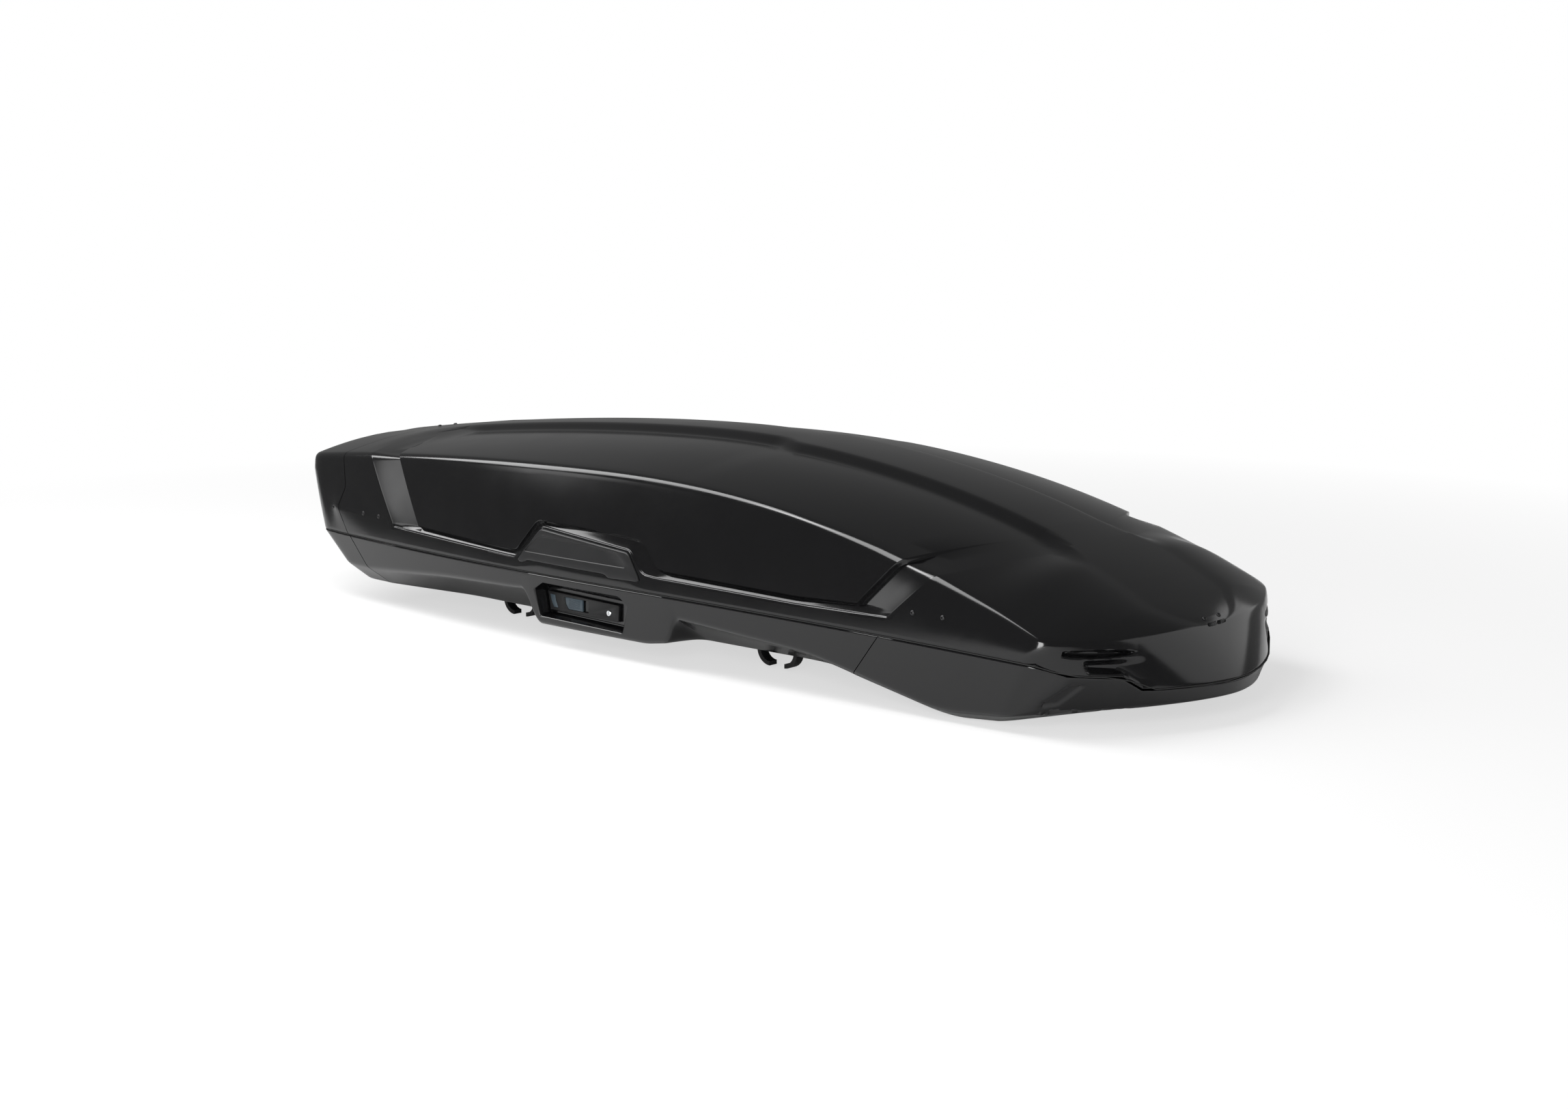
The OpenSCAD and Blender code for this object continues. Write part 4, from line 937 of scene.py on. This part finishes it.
class CARGO_OT_base(bpy.types.Operator):
    """Base shell with its lock housings, and its rear and front caps."""

    bl_idname = "cargo.base"
    bl_label = "Base shells"

    def execute(self, context):
        rear = [("at", u) for u in (0, 0.004, 0.01, 0.02, 0.04, 0.07, 0.11, 0.16, 0.23, 0.3, 0.45, 0.6, 0.8)]
        rear += [("at", 1 - BASE_GAP_U)]
        middle = [("at", 1 + BASE_GAP_U)] + spread(1.1, 1.8, 6) + corner_stations(2, 0.2, 0.2, 5)
        middle += spread(2.3, 2.93, 6) + corner_stations(3, 0.05, 0.42, 7)
        middle += corner_stations(4, 0.42, 0.04, 7) + spread(4.06, 4.95, 14)
        middle += corner_stations(5, 0.05, 0.2, 7) + corner_stations(6, 0.2, 0.4, 7)
        middle += corner_stations(7, 0.4, 0.04, 7) + spread(7.08, 7.7, 8) + corner_stations(8, 0.25, 0.3, 7)
        middle += spread(8.4, 9 - BASE_GAP_U, 6) + [("at", 9 - BASE_GAP_U)]
        front = [("at", 9 + BASE_GAP_U)] + spread(9.1, 9.7, 6) + corner_stations(10, 0.25, 0.3, 9)
        front += spread(10.34, 10.86, 8) + corner_stations(11, 0.13, 0.08, 11)
        front += spread(11.085, 11.985, 130) + [("at", 11.988)]
        pieces = []
        for name, stations, kind, probe in (
                ("base_cap_rear_skin", rear, {"rear_face": "base"}, (-1.0, 0, -1.0)),
                ("base_skin", middle, {}, (0, 0, -1.0)),
                ("base_cap_front_skin", front, {"nose_strip": True}, (0.85, 0, -1.0))):
            obj = skin_from_grid(name, base_grid(stations), **kind)
            face_outwards(obj, Vector(probe))
            thicken(obj, BASE_WALL * MM)
            pieces.append(obj)
        rear_cap, shell, front_cap = pieces
        tools = []
        for side in (-1, 1):
            outline = [(x, z + SEAM_HEIGHT) for x, z in rounded(RECESS, 5.0)]
            tools.append(prism("recess_tool", outline, side * 414.0, side * 490.0))
        for x in CLAMP_X:
            for y in (-CLAMP_Y, CLAMP_Y):
                outline = [(x - CLAMP_SLOT_X, 30), (x + CLAMP_SLOT_X, 30), (x + CLAMP_SLOT_X, 80),
                           (x - CLAMP_SLOT_X, 80)]
                tools.append(prism("slot_tool", outline, y - CLAMP_SLOT_Y, y + CLAMP_SLOT_Y))
        cut(shell, tools)
        for obj, node in ((rear_cap, "base_rear_cap"), (shell, "base_shell"), (front_cap, "base_front_cap")):
            shell_piece(obj, "base", node)
        return {"FINISHED"}


# Grip trim: outlines as x and height over the seam plane
TRIM_OUTER = [(-318, 19), (-250, 95), (16, 73), (57, 17), (-36, 15), (-45, 22), (-284, 24), (-296, 17)]
TRIM_PANEL = [(-299, 42), (-249, 81), (-21, 71.5), (17, 41)]


def side_y(x, z_rel):
    x = float(x)
    k = z_rel / (float(side_crest_z(x)) - float(seam_z(x)))
    return float(half_w(x)) - LEAN * z_rel + SIDE_BULGE * 4 * k * (1 - k)


def relief(name, outline_rings, side):
    """A skin of outlines laid on the lid's side wall, each with its height above the wall."""
    loops = []
    for outline, out in outline_rings:
        loops.append([(x, side * (side_y(x, z + SEAM_HEIGHT - float(seam_z(x))) + out), z + SEAM_HEIGHT)
                      for x, z in outline])
    return rings(name, loops)


class CARGO_OT_grips(bpy.types.Operator):
    """Grip trims on both sides of the lid, with a recessed panel and a lower grip lip."""

    bl_idname = "cargo.grips"
    bl_label = "Grip trims"

    def execute(self, context):
        top = context.scene.cargo_sizes.trim_height / MM
        count = 96
        for word, side in SIDES.items():
            outer = resampled(rounded(TRIM_OUTER, 9.0, 6), count)
            panel = resampled(rounded(TRIM_PANEL, 10.0, 8), count)
            stack = [(outer, 0.4), (outer, top - 2.6), (inset(outer, 0.8), top - 1.0),
                     (inset(outer, 2.4), top), (inset(panel, -0.6), top), (inset(panel, 0.6), top - 1.6)]
            # The recessed panel follows the wall in smaller and smaller rings
            middle = np.mean(panel, axis=0)
            for share in (0.75, 0.45, 0.18):
                ring = [tuple(middle + share * (np.array(q) - middle)) for q in panel]
                stack.append((ring, top - 1.6))
            body = relief("grip_trim_" + word + "_skin", stack, side)
            bevelled(body, 0.7, 2, 28)
            dress(body, "satin")
            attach(body, "lid")
            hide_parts("grip_trim_" + word)
        return {"FINISHED"}


# Screws in the lid's sides: x and height over the seam
SIDE_SCREWS = ((-1042, 55), (-907, 55), (-841, 55), (736, 52), (803, 53))
TOP_SCREW_Y = 25.0


class CARGO_OT_screws(bpy.types.Operator):
    """Domed screws on the lid's sides and top."""

    bl_idname = "cargo.screws"
    bl_label = "Lid screws"

    def execute(self, context):
        r = context.scene.cargo_sizes.screw_radius / MM
        # A domed head with a round socket
        profile = [(0, 1.2), (1.7, 1.2), (1.9, 2.7), (3.2, 2.3), (4.3, 1.5), (r, 0.4), (r, -0.2), (0, -0.2)]
        shape = revolved("screw_shape", profile, 18)
        shade(shape, 40)
        mat = finish("satin")
        sides = []
        for side in (-1, 1):
            for x, rise in SIDE_SCREWS:
                y = side_y(x, rise)
                place = (x, side * y, float(seam_z(x)) + rise)
                facing = Vector((0, side, LEAN)).normalized()
                sides.append((place, facing))
        tops = []
        for x in (TAIL_X + 107, TIP_CREST_X - 12):
            height, ahead, behind = (float(lid_top_z(x + move, TOP_SCREW_Y)) for move in (0, 4, -4))
            facing = Vector(((behind - ahead) / 8, 0, 1)).normalized()
            tops += [((x, y, height), facing) for y in (-TOP_SCREW_Y, TOP_SCREW_Y)]
        for name, spots in (("side_screws", sides), ("top_screws", tops)):
            obj = repeated(name, spots, shape, mat)
            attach(obj, "lid")
            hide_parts("lid_" + name)
        bpy.data.objects.remove(shape)
        return {"FINISHED"}


# Lock: outlines as x and drop below the seam plane
RECESS_FLOOR = [(-241, -34), (-259, -43), (-250, -88), (-20, -92), (-6, -46), (-22, -38)]
PLATE = [(-254, -43), (-34, -48), (-37, -84), (-245, -83)]
WINDOW = [(-201.5, -50.5), (-127.5, -50.5), (-127.5, -76.5), (-190, -76.5), (-198, -66)]
SLIDER = [(-200.5, -51), (-146, -51), (-146, -76), (-189.5, -76), (-197.5, -65.5)]
STATUS = [(-247, -49), (-231, -50), (-229, -62), (-222, -77), (-236, -77), (-243, -64)]
PLATE_Y = 417.0
PLATE_THICKNESS = 5.8
KEY_X = -65.0
KEY_Z = 92.0
KEY_RADIUS = 6.4
KEY_HOLE_RADIUS = 6.9
RIB_X = -171.0
RIB_TOP_Z = 105.0
RIB_PITCH = 2.4
RIB_COUNT = 8
RIB_HALF_LENGTH = 17.0
RIB_HALF_WIDTH = 0.45
RIB_RISE = 0.7


def drop_z(outline):
    return [(x, z + SEAM_HEIGHT) for x, z in outline]


class CARGO_OT_locks(bpy.types.Operator):
    """Lock recesses with plate, status window, thumb slider and key cylinder, on both sides."""

    bl_idname = "cargo.locks"
    bl_label = "Locks"

    def execute(self, context):
        for word, side in SIDES.items():
            self.bezel(word, side)
            self.plate(word, side)
            self.slider(word, side)
            self.key(word, side)
        return {"FINISHED"}

    def bezel(self, word, side):
        outer = drop_z(rounded(RECESS, 5.0, 5))
        floor = drop_z(rounded(RECESS_FLOOR, 4.0, 5))
        surf = lambda pts, out: [(x, side * (base_side_y(x, z) + out), z) for x, z in pts]
        level = lambda pts, y: [(x, side * y, z) for x, z in pts]
        # From the middle of the hidden side out to the lip, and over it down to the recess's floor
        loops = [level(inset(floor, 1.0), PLATE_Y - 8.0), level(inset(floor, -2.0), PLATE_Y - 7.0),
                 surf(inset(outer, 0.4), -5.5), surf(inset(outer, -1.0), -1.6),
                 surf(inset(outer, -2.6), -0.6), surf(inset(outer, -1.6), 0.5), surf(inset(outer, 0.0), 0.7),
                 surf(inset(outer, 1.2), -0.2), surf(inset(outer, 2.0), -2.5), level(floor, PLATE_Y - 5.0),
                 level(inset(floor, 3.0), PLATE_Y - 6.0)]
        obj = rings("lock_bezel_" + word + "_skin", loops)
        dress(obj, "shell", 38)
        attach(obj, "base")
        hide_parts("lock_bezel_" + word)

    def plate(self, word, side):
        obj = prism("lock_plate_" + word + "_skin", drop_z(rounded(PLATE, 3.0)),
                    side * (PLATE_Y - PLATE_THICKNESS), side * PLATE_Y)
        window = prism("window_tool", drop_z(WINDOW), side * 380.0, side * 440.0)
        key_hole = [(KEY_X + KEY_HOLE_RADIUS * math.cos(a), KEY_Z + KEY_HOLE_RADIUS * math.sin(a))
                    for a in np.linspace(0, 2 * math.pi, 40)[:-1]]
        hole = prism("hole_tool", key_hole, side * 380.0, side * 440.0)
        seat = prism("seat_tool", drop_z(STATUS), side * (PLATE_Y - 1.0), side * 440.0)
        cut(obj, [window, hole, seat])
        bevelled(obj, 0.6, 2, 30)
        dress(obj, "housing")
        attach(obj, "base")
        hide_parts("lock_plate_" + word)
        glass = prism("status_window_" + word + "_skin", inset(drop_z(STATUS), 0.3), side * (PLATE_Y - 0.95),
                      side * (PLATE_Y - 0.2))
        bevelled(glass, 0.3, 2, 30)
        dress(glass, "slate")
        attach(glass, "base")
        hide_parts("status_window_" + word)

    def slider(self, word, side):
        body = prism("lock_slider_" + word + "_skin", drop_z(SLIDER), side * (PLATE_Y - 4.6),
                     side * (PLATE_Y - 0.4))
        bevelled(body, 0.6, 2, 30)
        rib = box("rib_shape", RIB_HALF_LENGTH, RIB_HALF_WIDTH, -0.5, RIB_RISE)
        bevelled(rib, 0.3, 2, 30)
        spots = [((RIB_X, side * (PLATE_Y - 0.4), RIB_TOP_Z - RIB_PITCH * k), (0, side, 0))
                 for k in range(RIB_COUNT)]
        ribs = repeated("ribs", spots, rib, finish("slate"))
        bpy.data.objects.remove(rib)
        stem = prism("stem", [(-186.8, 94.2), (-175.2, 94.2), (-175.2, 99.8), (-186.8, 99.8)], side * 400.9,
                     side * (PLATE_Y - 5.0))
        join(body, [ribs, stem])
        dress(body, "slate")
        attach(body, "lock_slider_" + word)
        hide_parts("lock_slider_" + word)

    def key(self, word, side):
        r = KEY_RADIUS
        profile = [(0, 0), (r, 0), (r, 20.4), (r - 0.9, 21.3), (0, 21.3)]
        obj = revolved("key_cylinder_" + word + "_skin", profile, 40)
        slot = box("slot_tool", 0.7, 4.6, 18.5, 25)
        cut(obj, [slot])
        turn = Matrix.Rotation(math.radians(90 if side < 0 else -90), 4, "X")
        place = Matrix.Translation((KEY_X * MM, side * (PLATE_Y - 20) * MM, KEY_Z * MM))
        obj.data.transform(place @ turn)
        dress(obj, "chrome")
        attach(obj, "key_cylinder_" + word)
        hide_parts("key_cylinder_" + word)


def join(target, others):
    """Joins plain meshes into the target's mesh."""
    bm = bmesh.new()
    bm.from_mesh(target.data)
    for other in others:
        bm.from_mesh(other.data)
    bm.to_mesh(target.data)
    bm.free()
    for other in others:
        bpy.data.objects.remove(other)


class CARGO_OT_fittings(bpy.types.Operator):
    """Finishes of the clamps, rails, lifters, lamps, seal and mat."""

    bl_idname = "cargo.fittings"
    bl_label = "Inner fittings"

    def execute(self, context):
        by_prefix = {
            "zinc": ("lid_stiffener", "striker_rail", "floor_rail", "lock_channel", "lock_rod",
                     "lifter_base_bracket", "lifter_lid_bracket"),
            "rubber": ("rim_seal",), "lamp": ("lid_light",), "satin": ("light_button",),
            "foam": ("floor_mat",),
            "housing": ("clamp_body", "jaw_"), "knob": ("torque_knob",), "paint": ("lifter_tube",),
            "chrome": ("lifter_rod",),
        }
        for name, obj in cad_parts.items():
            for key, prefixes in by_prefix.items():
                if name.startswith(prefixes):
                    for k in range(len(obj.data.materials)):
                        obj.data.materials[k] = finish(key)
        return {"FINISHED"}


# Each soft box is mirrored by one family of faces: name, place, aim (m), size (m) and power (W)
SOFT_BOXES = (
    ("crests", (-2.6, -1.45, 3.1), (0.0, -0.5, 0.3), (1.7, 3.4), 130.0),
    ("front_crest", (-0.25, -1.3, 3.0), (0.9, -0.5, 0.2), (1.5, 1.5), 50.0),
    ("nose", (3.1, 2.7, 1.6), (1.1, 0.0, 0.2), (5.2, 1.8), 26.0),
    ("corner", (1.85, -2.7, 0.8), (1.0, -0.39, 0.1), (0.9, 1.5), 60.0),
)
# A far, wide source for the groove's rear leg: the way its light goes, its width and its strength
SUN_WAY = (0.735, 0.639, -0.225)
SUN_WIDTH = math.radians(10)
SUN_STRENGTH = 0.055
# Light from all round that the box mirrors; the camera sees plain white instead
ROOM_STRENGTH = 0.2
CAMERA_PLACE = (3.1944, -3.5025, 1.0041)
CAMERA_PITCH = math.radians(90 - 9.97665)
CAMERA_YAW = math.radians(41.88013)
FLOOR_REACH = 20000.0


class CARGO_OT_studio(bpy.types.Operator):
    """Camera, pale floor and soft studio light."""

    bl_idname = "cargo.studio"
    bl_label = "Studio"

    def execute(self, context):
        scene = context.scene
        camera = bpy.data.objects.new("camera", bpy.data.cameras.new("camera"))
        scene.collection.objects.link(camera)
        camera.location = CAMERA_PLACE
        camera.rotation_euler = (CAMERA_PITCH, 0, CAMERA_YAW)
        camera.data.lens = 50
        camera.data.sensor_width = 36
        camera.data.clip_end = 100
        scene.camera = camera
        corners = [(a * FLOOR_REACH, b * FLOOR_REACH, 0) for a, b in ((-1, -1), (1, -1), (1, 1), (-1, 1))]
        floor = make_object("floor", corners, [(0, 1, 2, 3)], merge=0)
        floor.data.materials.append(self.floor_finish(context))
        world = bpy.data.worlds.new("studio")
        scene.world = world
        world.use_nodes = True
        tree = world.node_tree
        tree.nodes.clear()
        rays = add_node(tree, "ShaderNodeLightPath")
        strength = add_node(tree, "ShaderNodeMapRange", inputs={"To Min": ROOM_STRENGTH, "To Max": 1.0},
                            links={"Value": rays.outputs["Is Camera Ray"]})
        glow = add_node(tree, "ShaderNodeBackground", inputs={"Color": (1, 1, 1, 1)},
                        links={"Strength": strength.outputs["Result"]})
        add_node(tree, "ShaderNodeOutputWorld", links={"Surface": glow.outputs["Background"]})
        for name, place, aim, size, power in SOFT_BOXES:
            lamp = bpy.data.lights.new(name, "AREA")
            lamp.shape = "RECTANGLE"
            lamp.size, lamp.size_y = size
            lamp.energy = power
            obj = bpy.data.objects.new(name, lamp)
            scene.collection.objects.link(obj)
            obj.location = place
            obj.visible_camera = False
            obj.rotation_euler = (Vector(aim) - Vector(place)).to_track_quat("-Z", "Y").to_euler()
        sun = bpy.data.lights.new("rear_band", "SUN")
        sun.angle = SUN_WIDTH
        sun.energy = SUN_STRENGTH
        obj = bpy.data.objects.new("rear_band", sun)
        scene.collection.objects.link(obj)
        obj.rotation_euler = Vector(SUN_WAY).to_track_quat("-Z", "Y").to_euler()
        scene.view_settings.view_transform = "Standard"
        return {"FINISHED"}

    def floor_finish(self, context):
        # Matt painted board, white to the camera, which keeps the soft shadow
        mat = bpy.data.materials.new("Matt white board")
        mat.use_nodes = True
        tree = mat.node_tree
        tree.nodes.clear()
        colour = linear(context.scene.cargo_colours.floor)
        matt = add_node(tree, "ShaderNodeBsdfDiffuse", inputs={"Color": colour})
        glow = add_node(tree, "ShaderNodeEmission", inputs={"Color": (1, 1, 1, 1), "Strength": 1.0})
        rays = add_node(tree, "ShaderNodeLightPath")
        where = add_node(tree, "ShaderNodeTexCoord").outputs["Object"]
        reach = add_node(tree, "ShaderNodeVectorMath", {"operation": "LENGTH"}, links={0: where})
        # The glow takes over from the light at 1.2 to 3.4 m, so the floor's far edge isn't seen
        far = add_node(tree, "ShaderNodeMapRange", inputs={
            "From Min": 1.2, "From Max": 3.4, "To Min": 0.62, "To Max": 1.0},
            links={"Value": reach.outputs["Value"]})
        share = add_node(tree, "ShaderNodeMath", {"operation": "MULTIPLY"},
                         links={0: rays.outputs["Is Camera Ray"], 1: far.outputs["Result"]})
        mixed = add_node(tree, "ShaderNodeMixShader", links={
            0: share.outputs[0], 1: matt.outputs["BSDF"], 2: glow.outputs["Emission"]})
        # From below the board is clear, so the underside can be looked at
        below = add_node(tree, "ShaderNodeNewGeometry")
        clear = add_node(tree, "ShaderNodeBsdfTransparent")
        seen = add_node(tree, "ShaderNodeMixShader", links={
            0: below.outputs["Backfacing"], 1: mixed.outputs["Shader"], 2: clear.outputs["BSDF"]})
        add_node(tree, "ShaderNodeOutputMaterial", links={"Surface": seen.outputs["Shader"]})
        return mat


class CARGO_PT_panel(bpy.types.Panel):
    """Sizes, colours and pieces of the cargo box."""

    bl_idname = "CARGO_PT_panel"
    bl_label = "Cargo box"
    bl_space_type = "VIEW_3D"
    bl_region_type = "UI"
    bl_category = "Cargo box"

    def draw(self, context):
        for group in (context.scene.cargo_sizes, context.scene.cargo_colours):
            for name in group.__annotations__:
                self.layout.prop(group, name)
        for operator in OPERATORS:
            self.layout.operator(operator.bl_idname)


OPERATORS = (CARGO_OT_studio, CARGO_OT_lid, CARGO_OT_base, CARGO_OT_grips, CARGO_OT_screws, CARGO_OT_locks,
             CARGO_OT_fittings)
CLASSES = (CargoSizes, CargoColours, *OPERATORS, CARGO_PT_panel)


def register():
    for cls in CLASSES:
        bpy.utils.register_class(cls)
    bpy.types.Scene.cargo_sizes = bpy.props.PointerProperty(type=CargoSizes)
    bpy.types.Scene.cargo_colours = bpy.props.PointerProperty(type=CargoColours)


def unregister():
    del bpy.types.Scene.cargo_sizes
    del bpy.types.Scene.cargo_colours
    for cls in reversed(CLASSES):
        bpy.utils.unregister_class(cls)


def main():
    register()
    for operator in OPERATORS:
        group, name = operator.bl_idname.split(".")
        result = getattr(getattr(bpy.ops, group), name)()
        if "FINISHED" not in result:
            raise RuntimeError(operator.bl_label + " wasn't finished")
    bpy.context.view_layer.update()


if __name__ == "__main__":
    main()
